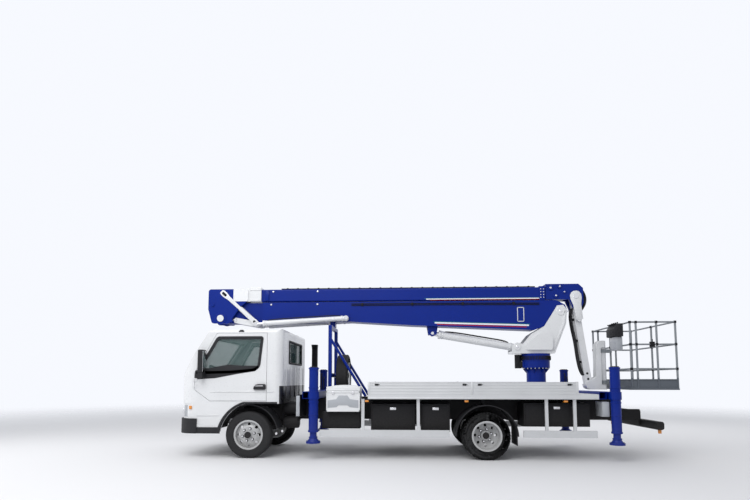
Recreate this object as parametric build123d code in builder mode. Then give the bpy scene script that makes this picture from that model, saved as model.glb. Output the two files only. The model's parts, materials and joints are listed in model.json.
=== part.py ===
"""Light truck with a folding, telescopic work platform, parked with its booms stowed.

The front of the truck points along -X, its left side along -Y, and +Z is up.
The origin is on the ground, under the middle of the whole outline.
All lengths are in millimetres. A place called x is counted from the front axle.
"""
from build123d import *
from math import hypot
import os

os.makedirs("parts", exist_ok=True)

# Overall lengths along the truck
front_overhang = 1200
wheelbase = 3850
rear_reach = 3100
axle_x = front_overhang - (front_overhang + wheelbase + rear_reach) / 2

# Fits: pieces that turn or slide on one another, and pieces that rest on one another
running_gap = 0.05
seat_gap = 0.3

# Tyres and wheels
tyre_radius = 376
tyre_width = 205
bead_radius = 222
bead_inset = 22
lip_height = 18
rim_wall = 9
front_wheel_y = 862
outer_twin_y = 897
twin_spacing = 236
hub_radius = 62
spindle_radius = 30
twin_spindle_radius = 40
disc_thickness = 12
hand_hole_radius = 24
hand_hole_circle = 170
hand_hole_count = 8

# Chassis
rail_inner_y = 360
rail_width = 65
rail_web = 14
rail_flange = 8
rail_bottom = 600
rail_height = 180
rail_front_x = -900
rail_rear_x = 6480
subframe_front_x = 700
subframe_rear_x = 6080
subframe_height = 180
cab_mount_x = (-700, 420)
cross_member_x = (-820, 640, 1600, 2600, 3300, 4400, 5400, 6300)
cross_member_length = 90
rear_bar_depth = 124
rear_bar_height = 130
rear_bar_half_length = 950
rear_bar_z = 550
rail_top = rail_bottom + rail_height
rail_outer_y = rail_inner_y + rail_width
rail_middle_y = rail_inner_y + rail_width / 2
rail_middle_z = rail_bottom + rail_height / 2
subframe_top = rail_top + subframe_height

# Axles and steering knuckles
kingpin_y = 705
kingpin_radius = 17
axle_beam_height = 80
axle_beam_width = 70
boss_height = 84
boss_radius = 34
yoke_thickness = 24
yoke_width = 64
spring_seat_width = 60
rear_axle_radius = 62
rear_axle_half_length = 610
differential_radius = 165

# Cab
cab_half_width = 1000
cab_wall = 38
cab_floor_z = 880
cab_roof_z = 2120
cab_rear_x = 560
cab_front_x = -1190
windscreen_low_z = 1290
nose_depth = 330
rear_corner_radius = 130
roof_side_radius = 120
roof_side_rise = 8
roof_rear_radius = 70
door_front_x = -640
door_rear_x = 300
door_bottom_z = 925
door_top_z = 2040
door_gap = 6
glass_inset = 14
glass_thickness = 5
windscreen_half_width = 830
windscreen_z = (1370, 1985)
rear_window_half_width = 520
rear_window_z = (1560, 1930)
hinge_x = -900
hinge_y = cab_half_width + 10
hinge_radius = 9
hinge_heights = (1170, 1270)

# Skirt below the cab, its bumper, and the arches over the wheels
skirt_front_x = cab_front_x + 14
skirt_bottom_z = 430
skirt_wall = 30
arch_top_x = -60
arch_middle = (-335, 690)
arch_low_x = -455
moulding_width = 45
moulding_depth = 12
moulding_rear_x = 480
bumper_depth = 24
bumper_z = (400, 640)
bumper_rear_x = -840
sill_top_z = 500
grille_slots = 4
grille_pitch = 40
lamp_y = 800
lamp_z = 760
lamp_size = (420, 300, 190)
arch_radius = 492
arch_wall = 12
front_arch_y = (600, 966)
front_arch_bottom_z = 480
rear_arch_inner_y = 587

# Engine as one plain block, and its air intake behind the cab
engine_front_x = -300
engine_length = 820
engine_half_width = 290
engine_bottom = 470
engine_height = 370
intake_x = 760
intake_y = 900
intake_size = 110
intake_low_z = 850
intake_top_z = 1890

# Deck
deck_front_x = 1960
deck_rear_x = 5590
deck_half_width = 1030
deck_thickness = 80
board_height = 194
board_thickness = 28
board_rear_x = 5280
pedestal_window = 800

# Side guards, lockers and the toolbox keep clear of the rear arch by arch_clearance
arch_clearance = 78
arch_front_x = wheelbase - arch_radius - arch_clearance
arch_rear_x = wheelbase + arch_radius + arch_clearance
guard_z = (360, 470)
guard_thickness = 30
locker_y = deck_half_width - 170
locker_edge = 14
tank_edge = 90
box_x, box_length, box_depth, box_z, box_height = 1290, 540, 420, 760, 330
box_wall = 12
lid_height = 70
lid_hinge_radius = 10
lid_hinge_y = -(deck_half_width - box_depth) + lid_hinge_radius
lid_hinge_z = box_z + box_height + lid_hinge_radius
spare_x = 1450
spare_z = subframe_top + tyre_radius + 16

# Outriggers
beam_size = 100
beam_clearance = 0.3
beam_wall = 8
beam_inner_y = 60
jack_y = deck_half_width - 30
housing_half_length = jack_y - 110
jack_radius = 75
jack_bore = 56
jack_top_z = 1462
jack_bottom_z = 430
leg_radius = 55.5
leg_top_z = 1300
pad_radius = 115
pad_bottom_z = 256
pad_thickness = 32
front_jack_x = 1077
rear_jack_x = 5855
beam_stagger = 150

# Pedestal, slewing motor and turret
slew_x = 4900
pedestal_radius = 165
pedestal_top_z = 1482
flange_radius = 240
flange_top_z = 1609
slew_ring_radius = 250
slew_ring_top_z = 1733
gusset_count = 8
gusset_depth = 105
gusset_thickness = 12
motor_x = 4588
motor_radius = 60
motor_z = (1475, 1718)
turret_base_thickness = 40
turret_base_x = (4450, 5190)
column_plate = 25

# Boom pivots, as x and z
pivot_x, pivot_z = 5311, 2482
knuckle_x, knuckle_z = -796, 2390
rocker_x, rocker_z = -540, 2360
link_pin_x, link_pin_z = -117, 2280
link_top_x, link_top_z = -763, 2862
fold_base_x, fold_base_z = 1513, 2370
lift_base_x, lift_base_z = 4540, 1850
lift_eye_x, lift_eye_z = 3062, 2109
jib_top_x, jib_top_z = 5591, 2748
jib_low_x, jib_low_z = 5801, 1186
basket_yaw_x = 6085

# Booms, with their pins and cylinders
pin_radius = 28
small_pin_radius = 25
link_pin_radius = 24
lower_half_width = 150
lower_top_z = 2680
lower_nose_z = 2318
nose_half_width = 95
lift_ear_y = 47
lift_ear = 25
lift_barrel_radius, lift_rod_radius = 68, 40
fold_barrel_radius, fold_rod_radius = 45, 26
fold_cylinder_y = 224
upper_half_width = 125
upper_bottom_z = 2695
upper_height = 230
upper_front_x = -60
upper_rear_x = 5065
upper_wall = 8
upper_corner = 24
inner_gap = 5
inner_front_x = 200
wear_pad_length = 90
knuckle_plate_y = 150
knuckle_plate = 20
knuckle_cap_radius = 66
knuckle_cap = 20
rocker_y = 102
rocker_plate = 18
rocker_half_height = 50
link_y = 125
link_half_height = 42
head_front_x = upper_rear_x + 10
head_block_x = head_front_x + 325
head_top_z = 2976
head_plate_y = 88
head_plate = 40
head_boss_radius = 80
head_boss = 14
jib_half_width = 60
jib_half_height = 58

# Basket and its carrier
carrier_plate_y = 66
carrier_plate = 24
yaw_post_radius = 42
carrier_z = (1100, 1960)
lug_heights = (1230, 1780)
basket_front_x = 6200
basket_depth = 750
basket_half_length = 800
basket_floor_z = 1107
basket_floor = 24
basket_top_z = 2239
basket_tube = 16
double_post_gap = 95
kick_height = 150
kick_thickness = 4
station_y = -420

# Boom support
support_x = 1255
support_post_y = 392
support_bar_z = 2230
support_post = 60
brace_foot_x = 1880
brace_radius = 24


def at(x):
    """Turn a place counted from the front axle into the part's own X."""
    return axle_x + x


def save(part, label):
    """Give a finished piece its name and write it."""
    part.label = label
    export_step(part, f"parts/{label}.step")


def side_plate(points, y_low, y_high, round_corners=0):
    """Extrude an outline of (x, z) points from one Y to another, its corners rounded if asked."""
    with BuildPart() as plate:
        with BuildSketch(Plane.XZ.offset(-y_low)) as outline:
            with BuildLine():
                Polyline([(at(x), z) for x, z in points], close=True)
            make_face()
            if round_corners:
                fillet(outline.vertices(), round_corners)
        extrude(amount=-(y_high - y_low))
    return plate.part


def block(x_low, x_high, y_low, y_high, z_low, z_high, edge=0):
    """Make a box between two corners, its edges along the truck rounded if asked."""
    with BuildPart() as solid:
        with Locations((at((x_low + x_high) / 2), (y_low + y_high) / 2, (z_low + z_high) / 2)):
            Box(x_high - x_low, y_high - y_low, z_high - z_low)
        if edge:
            fillet(solid.edges().filter_by(Axis.X), edge)
    return solid.part


def rod_between(start, end, radius, y=0):
    """Make a round bar between two (x, z) points at one Y."""
    direction = (end[0] - start[0], 0, end[1] - start[1])
    plane = Plane(origin=(at(start[0]), y, start[1]), x_dir=(0, 1, 0), z_dir=direction)
    with BuildPart() as bar:
        with BuildSketch(plane):
            Circle(radius)
        extrude(amount=hypot(direction[0], direction[2]))
    return bar.part


def cross_pin(x, z, radius, y_low, y_high):
    """Make a round pin across the truck."""
    with BuildPart() as pin:
        with BuildSketch(Plane.XZ.offset(-y_low)):
            with Locations((at(x), z)):
                Circle(radius)
        extrude(amount=-(y_high - y_low))
    return pin.part


def tyre_solid(x, y, z):
    """A tyre: one profile of distance from mid width and radius, turned about the wheel's axle."""
    half = tyre_width / 2
    shoulder = tyre_radius - 14
    sidewall = bead_radius + 78
    bead = half - bead_inset - seat_gap
    seat = bead_radius + seat_gap
    with BuildPart() as tyre:
        with BuildSketch(Plane.XY):
            with BuildLine():
                Polyline(
                    (bead, seat), (bead, bead_radius + 20), (half - 8, bead_radius + 30), (half, sidewall),
                    (half - 10, shoulder), (half - 26, tyre_radius), (26 - half, tyre_radius),
                    (10 - half, shoulder), (-half, sidewall), (8 - half, bead_radius + 30),
                    (-bead, bead_radius + 20), (-bead, seat), close=True)
            make_face()
        revolve(axis=Axis.X)
    return Location((at(x), y, z), (0, 0, 90)) * tyre.part


def wheel_solid(x, y, z, outward, dish, hub_inner, hub_outer):
    """A pressed steel wheel: rim, disc with hand holes, and hub, turned about its axle.

    outward is -1 on the left and 1 on the right, dish is where the disc meets the rim and the hub.
    """
    half = tyre_width / 2 - bead_inset
    flange = half + 8
    lip = bead_radius + lip_height
    well = bead_radius - rim_wall
    rim_x, hub_x = dish
    bore = spindle_radius + running_gap
    with BuildPart() as wheel:
        with BuildSketch(Plane.XY):
            with BuildLine():
                Polyline(
                    (-flange, lip), (-flange, well), (rim_x, well), (hub_x, 120), (hub_x, hub_radius + 30),
                    (hub_inner, hub_radius + 30), (hub_inner, bore), (hub_outer - 12, bore),
                    (hub_outer - 12, 0), (hub_outer, 0), (hub_outer, 40), (hub_outer - 30, hub_radius),
                    (hub_x + disc_thickness, hub_radius), (hub_x + disc_thickness, 128),
                    (rim_x + disc_thickness, well), (flange, well), (flange, lip), (half, lip),
                    (half, bead_radius), (-half, bead_radius), (-half, lip), close=True)
            make_face()
        revolve(axis=Axis.X)
        with BuildSketch(Plane.YZ.offset(min(dish) - 30)):
            with PolarLocations(hand_hole_circle, hand_hole_count):
                Circle(hand_hole_radius)
        extrude(amount=abs(hub_x - rim_x) + disc_thickness + 60, mode=Mode.SUBTRACT)
    return Location((at(x), y, z), (0, 0, 90 * outward)) * wheel.part


def twin_wheel_solid(outward):
    """The two rear wheels of one side, disc to disc on one hub, turned about the axle."""
    rim_in = twin_spacing / 2 - tyre_width / 2 + bead_inset
    rim_out = twin_spacing / 2 + tyre_width / 2 - bead_inset
    flange = rim_out + 8
    lip = bead_radius + lip_height
    well = bead_radius - rim_wall
    bore = twin_spindle_radius + running_gap
    with BuildPart() as wheel:
        with BuildSketch(Plane.XY):
            with BuildLine():
                Polyline(
                    (-flange, lip), (-flange, well), (-34, well), (-disc_thickness, 120),
                    (-disc_thickness, 92), (-150, 92), (-150, bore), (0, bore), (0, 0), (100, 0),
                    (100, 50), (80, 78), (disc_thickness, 78), (disc_thickness, 120), (34, well),
                    (flange, well), (flange, lip), (rim_out, lip), (rim_out, bead_radius),
                    (rim_in, bead_radius), (rim_in, lip), (rim_in - 8, lip), (rim_in - 8, bead_radius),
                    (8 - rim_in, bead_radius), (8 - rim_in, lip), (-rim_in, lip), (-rim_in, bead_radius),
                    (-rim_out, bead_radius), (-rim_out, lip), close=True)
            make_face()
        revolve(axis=Axis.X)
        with BuildSketch(Plane.YZ.offset(-40)):
            with PolarLocations(hand_hole_circle - 8, hand_hole_count):
                Circle(hand_hole_radius)
        extrude(amount=80, mode=Mode.SUBTRACT)
    middle_y = outward * (outer_twin_y - twin_spacing / 2)
    return Location((at(wheelbase), middle_y, tyre_radius), (0, 0, 90 * outward)) * wheel.part


for side, outward in (("left", -1), ("right", 1)):
    y = outward * front_wheel_y
    save(tyre_solid(0, y, tyre_radius), f"tyre_front_{side}")
    save(wheel_solid(0, y, tyre_radius, outward, (10, 60), -40, 130), f"wheel_front_{side}")
    outer = outward * outer_twin_y
    inner = outward * (outer_twin_y - twin_spacing)
    twins = [tyre_solid(wheelbase, place, tyre_radius) for place in (outer, inner)]
    save(Compound(children=twins), f"tyre_rear_{side}")
    save(twin_wheel_solid(outward), f"wheel_rear_{side}")


def channel_rail(side):
    """One rail of the chassis: a channel that is open towards the middle of the truck."""
    pocket = rail_width - rail_web
    with BuildPart() as rail:
        with BuildSketch(Plane.YZ.offset(at(rail_front_x))):
            with Locations((side * rail_middle_y, rail_middle_z)):
                Rectangle(rail_width, rail_height)
            with Locations((side * (rail_inner_y + pocket / 2), rail_middle_z)):
                Rectangle(pocket, rail_height - 2 * rail_flange, mode=Mode.SUBTRACT)
        extrude(amount=rail_rear_x - rail_front_x)
    return rail.part


# Rear bar below the rails' ends
with BuildPart() as rear_bar:
    with Locations((at(rail_rear_x + rear_bar_depth / 2), 0, rear_bar_z)):
        Box(rear_bar_depth, 2 * rear_bar_half_length, rear_bar_height)
    fillet(rear_bar.edges().filter_by(Axis.Y), 40)

# Chassis frame: two channel rails, cross members, and the platform's subframe on top
with BuildPart() as chassis:
    for side in (-1, 1):
        add(channel_rail(side))
        add(block(subframe_front_x, subframe_rear_x, *sorted((side * rail_inner_y, side * rail_outer_y)),
                  rail_top, subframe_top))
        for x in cab_mount_x:
            with Locations((at(x), side * rail_middle_y, (rail_top + cab_floor_z - seat_gap) / 2)):
                Box(cross_member_length, rail_width, cab_floor_z - seat_gap - rail_top)
    for x in cross_member_x:
        with Locations((at(x), 0, rail_middle_z)):
            Box(cross_member_length, 2 * (rail_outer_y - rail_web), rail_height - 2 * rail_flange)
    add(block(skirt_front_x + skirt_wall + seat_gap, rail_front_x + 20, -550, 550,
              rail_bottom + 5, rail_bottom + 115))
    add(rear_bar.part)
    add(block(rail_rear_x - 30, rail_rear_x + 10, -rail_outer_y, rail_outer_y,
              rear_bar_z - 30, rail_top - 20))
save(chassis.part, "chassis_frame")

# Front axle: a dropped beam with a boss at each end, and the blocks that seat it under the rails
with BuildPart() as front_axle:
    with Locations((at(0), 0, tyre_radius)):
        Box(axle_beam_width, 2 * kingpin_y, axle_beam_height)
    for side in (-1, 1):
        with Locations((at(0), side * kingpin_y, tyre_radius)):
            Cylinder(boss_radius, boss_height)
        with Locations((at(0), side * rail_middle_y, (tyre_radius + rail_bottom) / 2)):
            Box(110, spring_seat_width, rail_bottom - tyre_radius)
    for side in (-1, 1):
        with Locations((at(0), side * kingpin_y, tyre_radius)):
            Cylinder(kingpin_radius + running_gap, boss_height, mode=Mode.SUBTRACT)
save(front_axle.part, "front_axle")

# Steering knuckles: a yoke over the boss, its kingpin, and the spindle that the hub turns on
for name, side in (("left", -1), ("right", 1)):
    yoke_z = boss_height / 2 + 1 + yoke_thickness / 2
    yoke_height = boss_height + 2 + 2 * yoke_thickness
    spindle_start = kingpin_y + 70
    spindle_end = front_wheel_y + 117
    with BuildPart() as knuckle:
        with Locations((at(0), side * kingpin_y, tyre_radius)):
            Cylinder(kingpin_radius, yoke_height)
        for up in (-1, 1):
            with Locations((at(0), side * (kingpin_y + 25), tyre_radius + up * yoke_z)):
                Box(yoke_width, 114, yoke_thickness)
        with Locations((at(0), side * (kingpin_y + 62), tyre_radius)):
            Box(yoke_width, 40, yoke_height)
        with Locations((at(0), side * (spindle_start + spindle_end) / 2, tyre_radius)):
            Cylinder(spindle_radius, spindle_end - spindle_start, rotation=(90, 0, 0))
    save(knuckle.part, f"knuckle_{name}")

# Rear axle: housing with its differential, spindles for the twin wheels, and spring seats
with BuildPart() as rear_axle:
    with Locations((at(wheelbase), 0, tyre_radius)):
        Cylinder(rear_axle_radius, 2 * rear_axle_half_length, rotation=(90, 0, 0))
        Cylinder(twin_spindle_radius, 2 * (outer_twin_y - twin_spacing / 2 - 4), rotation=(90, 0, 0))
        Sphere(differential_radius)
    for side in (-1, 1):
        with Locations((at(wheelbase), side * rail_middle_y, (tyre_radius + rail_bottom) / 2)):
            Box(130, spring_seat_width, rail_bottom - tyre_radius)
save(rear_axle.part, "rear_axle")

# Engine block with a mounting foot each side on the rails
with BuildPart() as engine:
    add(block(engine_front_x, engine_front_x + engine_length, -engine_half_width, engine_half_width,
              engine_bottom, engine_bottom + engine_height, 30))
    for x in (engine_front_x + 120, engine_front_x + engine_length - 120):
        with Locations((at(x), 0, rail_middle_z)):
            Box(70, 2 * (rail_outer_y - rail_web), 60)

# Air intake: a duct from the subframe out to the right, up behind the cab and into a wider hood
intake_low_middle_z = intake_low_z + intake_size / 2
with BuildPart() as intake:
    with BuildSketch(Plane.XZ.offset(-rail_outer_y - seat_gap)):
        with Locations((at(intake_x), intake_low_middle_z)):
            RectangleRounded(intake_size, intake_size, 22)
    extrude(amount=-(intake_y + intake_size / 2 - rail_outer_y - seat_gap))
    with BuildSketch(Plane.XY.offset(intake_low_middle_z)):
        with Locations((at(intake_x), intake_y)):
            RectangleRounded(intake_size, intake_size, 22)
    extrude(amount=intake_top_z - intake_low_middle_z)
    with BuildSketch(Plane.XY.offset(intake_top_z)):
        with Locations((at(intake_x), intake_y)):
            RectangleRounded(intake_size, intake_size, 22)
    with BuildSketch(Plane.XY.offset(intake_top_z + 85)):
        with Locations((at(intake_x), intake_y - 15)):
            RectangleRounded(intake_size + 10, intake_size + 50, 30)
    loft()
save(Compound(children=[engine.part, intake.part]), "engine_block")


def body_plan(front, rear, half, rear_radius=0):
    """The body seen from above: a nose with wide curves, straight sides, and rounded rear corners."""
    nose = half - nose_depth
    with BuildSketch() as plan:
        with BuildLine():
            Polyline((rear, half), (front + nose_depth, half))
            ThreePointArc((front + nose_depth, half), (front + 90, half - 105), (front, nose))
            Line((front, nose), (front, -nose))
            ThreePointArc((front, -nose), (front + 90, 105 - half), (front + nose_depth, -half))
            Polyline((front + nose_depth, -half), (rear, -half), (rear, half))
        make_face()
        if rear_radius:
            fillet(plan.vertices().group_by(Axis.X)[-1], rear_radius)
    return plan.sketch


def cab_form(inset, floor_z, roof_z):
    """The closed form of the cab, drawn inwards by inset, from floor_z up to roof_z.

    Three outlines meet: the cab from its side, from above and from the front.
    """
    front, rear, half = cab_front_x + inset, cab_rear_x - inset, cab_half_width - inset
    roof_bend = roof_rear_radius
    arc_inset = roof_bend * (1 - 0.5 ** 0.5)
    with BuildPart() as form:
        with BuildSketch(Plane.XZ.offset(-cab_half_width - 50)):
            with BuildLine():
                Polyline((at(rear), roof_z - roof_bend), (at(rear), floor_z), (at(front), floor_z),
                         (at(front + 10), windscreen_low_z), (at(-690 + inset * 1.2), roof_z - 70))
                ThreePointArc((at(-690 + inset * 1.2), roof_z - 70), (at(-633 + inset * 1.1), roof_z - 22),
                              (at(-560 + inset), roof_z))
                Line((at(-560 + inset), roof_z), (at(rear - roof_bend), roof_z))
                ThreePointArc((at(rear - roof_bend), roof_z), (at(rear - arc_inset), roof_z - arc_inset),
                              (at(rear), roof_z - roof_bend))
            make_face()
        extrude(amount=2 * cab_half_width + 100)
        with BuildSketch(Plane.XY.offset(floor_z - 50)):
            add(body_plan(at(front), at(rear), half, rear_corner_radius - inset))
        extrude(amount=2000, mode=Mode.INTERSECT)
        with BuildSketch(Plane.YZ.offset(at(cab_front_x - 100))):
            with Locations((0, (roof_z + floor_z - 200) / 2)):
                RectangleRounded(2 * (half + roof_side_rise), roof_z - floor_z + 200 + 2 * roof_side_rise,
                                 roof_side_radius - inset)
        extrude(amount=cab_rear_x - cab_front_x + 200, mode=Mode.INTERSECT)
    return form.part


cab_outer = cab_form(0, cab_floor_z, cab_roof_z)
cab_inner = cab_form(cab_wall, cab_floor_z + cab_wall, cab_roof_z - cab_wall)
glass_outer = cab_form(glass_inset, cab_floor_z, cab_roof_z - glass_inset)
glass_inner = cab_form(glass_inset + glass_thickness, cab_floor_z, cab_roof_z - glass_inset - glass_thickness)

# Door and its window, as outlines seen from the side
door_outline = (
    (door_front_x - 250, door_bottom_z + 180), (door_front_x, door_bottom_z), (door_rear_x, door_bottom_z),
    (door_rear_x, door_top_z), (-540, door_top_z), (-905, 1380))
door_window = ((-850, 1385), (-520, 1960), (215, 1960), (165, 1500), (90, 1435), (-300, 1400))


def side_prism(points, grow, y_low, y_high):
    """A prism through one side of the cab, its outline grown outwards by grow."""
    with BuildPart() as prism:
        with BuildSketch(Plane.XZ.offset(-y_low)):
            with BuildLine():
                Polyline([(at(x), z) for x, z in points], close=True)
            make_face()
            if grow:
                offset(amount=grow, kind=Kind.INTERSECTION)
        extrude(amount=-(y_high - y_low))
    return prism.part


def window_boxes(margin):
    """The windscreen's and the rear window's openings, drawn inwards by margin."""
    front_half = windscreen_half_width - margin
    rear_half = rear_window_half_width - margin
    front = block(cab_front_x - 110, -500, -front_half, front_half, windscreen_z[0] + margin,
                  windscreen_z[1] - margin)
    rear = block(cab_rear_x - 80, cab_rear_x + 20, -rear_half, rear_half, rear_window_z[0] + margin,
                 rear_window_z[1] - margin)
    return front, rear


def side_band(side):
    """The range of Y that one side of the cab and its door lie in."""
    return sorted((side * (cab_half_width - 420), side * (cab_half_width + 50)))


# Cab shell, with its fixed hinge leaves on the skin
with BuildPart() as cab:
    add(cab_outer)
    add(cab_inner, mode=Mode.SUBTRACT)
    for opening in window_boxes(0):
        add(opening, mode=Mode.SUBTRACT)
    for side in (-1, 1):
        add(side_prism(door_outline, door_gap / 2, *side_band(side)), mode=Mode.SUBTRACT)
        for z in hinge_heights:
            with Locations((at(hinge_x - hinge_radius - seat_gap - 14), side * (hinge_y - 9), z)):
                Box(28, 24, 50)
save(cab.part, "cab_shell")

# Windscreen and rear window
with BuildPart() as panes:
    for opening in window_boxes(seat_gap):
        add(opening)
with BuildPart() as cab_glass:
    add(glass_outer)
    add(glass_inner, mode=Mode.SUBTRACT)
    add(panes.part, mode=Mode.INTERSECT)
save(cab_glass.part, "cab_glass")

# Doors with their hinge barrels and handles, and the glass in them
for name, side in (("left", -1), ("right", 1)):
    with BuildPart() as door:
        add(cab_outer)
        add(cab_inner, mode=Mode.SUBTRACT)
        add(side_prism(door_outline, -door_gap / 2, *side_band(side)), mode=Mode.INTERSECT)
        add(side_prism(door_window, 0, *side_band(side)), mode=Mode.SUBTRACT)
        with Locations((at(door_rear_x - 110), side * (cab_half_width + 18), 1150)):
            Box(170, 36, 34)
        for z in hinge_heights:
            with Locations((at(hinge_x), side * hinge_y, z)):
                Cylinder(hinge_radius, 60)
            with Locations((at(hinge_x + 22), side * (hinge_y - 7), z)):
                Box(44, 10, 50)
    save(door.part, f"door_{name}")
    with BuildPart() as pane:
        add(glass_outer)
        add(glass_inner, mode=Mode.SUBTRACT)
        add(side_prism(door_window, -seat_gap, *side_band(side)), mode=Mode.INTERSECT)
    save(pane.part, f"door_glass_{name}")


def skirt_form(inset):
    """The closed form of the front skirt, drawn inwards by inset, its rear edge the wheel's arch."""
    with BuildPart() as form:
        with BuildSketch(Plane.XZ.offset(-cab_half_width)):
            with BuildLine():
                Polyline((at(arch_low_x), skirt_bottom_z), (at(cab_front_x - 50), skirt_bottom_z),
                         (at(cab_front_x - 50), cab_floor_z), (at(arch_top_x), cab_floor_z))
                ThreePointArc((at(arch_top_x), cab_floor_z), (at(arch_middle[0]), arch_middle[1]),
                              (at(arch_low_x), skirt_bottom_z))
            make_face()
        extrude(amount=2 * cab_half_width)
        with BuildSketch(Plane.XY.offset(skirt_bottom_z - 50)):
            add(body_plan(at(skirt_front_x + inset), at(0), cab_half_width - inset))
        extrude(amount=700, mode=Mode.INTERSECT)
    return form.part


# Front skirt: grille panel and sides, with a corner opening for each headlamp
with BuildPart() as skirt:
    add(skirt_form(0))
    add(skirt_form(skirt_wall), mode=Mode.SUBTRACT)
    for row in range(grille_slots):
        with Locations((at(cab_front_x), 0, lamp_z - 60 + grille_pitch * row)):
            Box(120, 900, 18, mode=Mode.SUBTRACT)
    for side in (-1, 1):
        with Locations((at(cab_front_x + 60), side * lamp_y, lamp_z)):
            Box(*lamp_size, mode=Mode.SUBTRACT)
save(skirt.part, "front_skirt")

# Headlamps in the skirt's corners
with BuildPart() as lamp_boxes:
    with Locations((at(cab_front_x + 60), -lamp_y, lamp_z), (at(cab_front_x + 60), lamp_y, lamp_z)):
        Box(*[length - 2 * seat_gap for length in lamp_size])
with BuildPart() as lamps:
    add(skirt_form(4))
    add(skirt_form(skirt_wall + 40), mode=Mode.SUBTRACT)
    add(lamp_boxes.part, mode=Mode.INTERSECT)
save(lamps.part, "headlamps")

# Mirrors: two arms on the door and two rounded housings outside it
for name, side in (("left", -1), ("right", 1)):
    with BuildPart() as housing:
        with Locations((at(-755), side * 1085, 1570)):
            Box(90, 150, 380)
        fillet(housing.edges(), 20)
    with BuildPart() as mirror:
        add(housing.part)
        with Locations((at(-755), side * 1085, 1345)):
            Box(80, 130, 90)
        for x, length, z in ((-805, 130, 1330), (-765, 44, 1580)):
            with Locations((at(x), side * (cab_half_width + seat_gap + 20), z)):
                Box(length, 40, 32)
    save(mirror.part, f"mirror_{name}")

# Cab interior: three seats and the dashboard, each one outline seen from the side
floor_top = cab_floor_z + cab_wall
seat_outline = ((-200, floor_top), (-200, floor_top + 380), (235, floor_top + 350), (275, floor_top + 880),
                (390, floor_top + 880), (350, floor_top))
dashboard_outline = ((-1090, floor_top), (-1090, floor_top + 400), (-1000, floor_top + 430),
                     (-860, floor_top + 425), (-830, floor_top + 380), (-830, floor_top + 160),
                     (-920, floor_top + 100), (-920, floor_top))
with BuildPart() as interior:
    for y, width in ((-560, 520), (30, 460), (560, 460)):
        add(side_plate(seat_outline, y - width / 2, y + width / 2, 30))
    add(side_plate(dashboard_outline, -750, 750))
save(interior.part, "cab_interior")

# Steering wheel on its column
wheel_tilt = 35
steering_column = 304
with BuildPart() as steering_wheel:
    with Locations(Location((at(-640), -560, floor_top + 480), (0, wheel_tilt, 0))):
        Torus(200, 15)
        Cylinder(38, 30)
        Box(36, 400, 16)
        with Locations((0, 0, -steering_column / 2)):
            Cylinder(18, steering_column)
save(steering_wheel.part, "steering_wheel")

# Deck: floor with low aluminium boards, open where the pedestal rises
board_low_z = subframe_top + deck_thickness
board_top_z = board_low_z + board_height
with BuildPart() as deck:
    add(block(deck_front_x, deck_rear_x, -deck_half_width, deck_half_width, subframe_top, board_low_z))
    for side in (-1, 1):
        board_y = sorted((side * deck_half_width, side * (deck_half_width - board_thickness)))
        add(block(deck_front_x, board_rear_x, *board_y, board_low_z, board_top_z))
    add(block(deck_front_x, deck_front_x + board_thickness, -deck_half_width, deck_half_width,
              board_low_z, board_top_z))
    with Locations((at(slew_x), 0, subframe_top + deck_thickness / 2)):
        Box(pedestal_window, pedestal_window, deck_thickness, mode=Mode.SUBTRACT)
save(deck.part, "deck")


def arch_shell(x, side, y_inner, y_outer, bottom_z):
    """A round shell over the wheels of one side, open below bottom_z."""
    middle_y = side * (y_inner + y_outer) / 2
    width = y_outer - y_inner
    with BuildPart() as shell:
        with Locations((at(x), middle_y, tyre_radius)):
            Cylinder(arch_radius, width, rotation=(90, 0, 0))
            Cylinder(arch_radius - arch_wall, width, rotation=(90, 0, 0), mode=Mode.SUBTRACT)
        with Locations((at(x), middle_y, bottom_z - arch_radius)):
            Box(2 * arch_radius, width, 2 * arch_radius, mode=Mode.SUBTRACT)
    return shell.part


def arch_moulding(side):
    """The dark moulding round the front arch and under the cab, with the sill ahead of it."""
    y_low, y_high = sorted((side * (cab_half_width + seat_gap), side * (cab_half_width + moulding_depth)))
    outer = moulding_width
    strip_z = cab_floor_z + 30
    with BuildPart() as moulding:
        with BuildSketch(Plane.XZ.offset(-y_low)):
            with BuildLine():
                ThreePointArc((at(arch_top_x), cab_floor_z), (at(arch_middle[0]), arch_middle[1]),
                              (at(arch_low_x), skirt_bottom_z))
                Polyline((at(arch_low_x), skirt_bottom_z), (at(arch_low_x), bumper_z[0]),
                         (at(bumper_rear_x - 10), bumper_z[0]), (at(bumper_rear_x - 10), sill_top_z),
                         (at(arch_low_x - outer + 10), sill_top_z))
                ThreePointArc((at(arch_low_x - outer + 10), sill_top_z),
                              (at(arch_middle[0] - outer * 0.75), arch_middle[1] + outer * 0.65),
                              (at(arch_top_x - 20), strip_z))
                Polyline((at(arch_top_x - 20), strip_z), (at(moulding_rear_x), strip_z),
                         (at(moulding_rear_x), cab_floor_z), (at(arch_top_x), cab_floor_z))
            make_face()
        extrude(amount=-(y_high - y_low))
    return moulding.part


# Bumper: a band round the skirt's nose, between the two mouldings
with BuildPart() as bumper:
    with BuildSketch(Plane.XY.offset(bumper_z[0])):
        add(body_plan(at(skirt_front_x - bumper_depth), at(bumper_rear_x), cab_half_width + bumper_depth))
        add(body_plan(at(skirt_front_x - seat_gap), at(bumper_rear_x + 1), cab_half_width + seat_gap),
            mode=Mode.SUBTRACT)
    extrude(amount=bumper_z[1] - bumper_z[0])
    for side in (-1, 1):
        add(arch_moulding(side))

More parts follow.
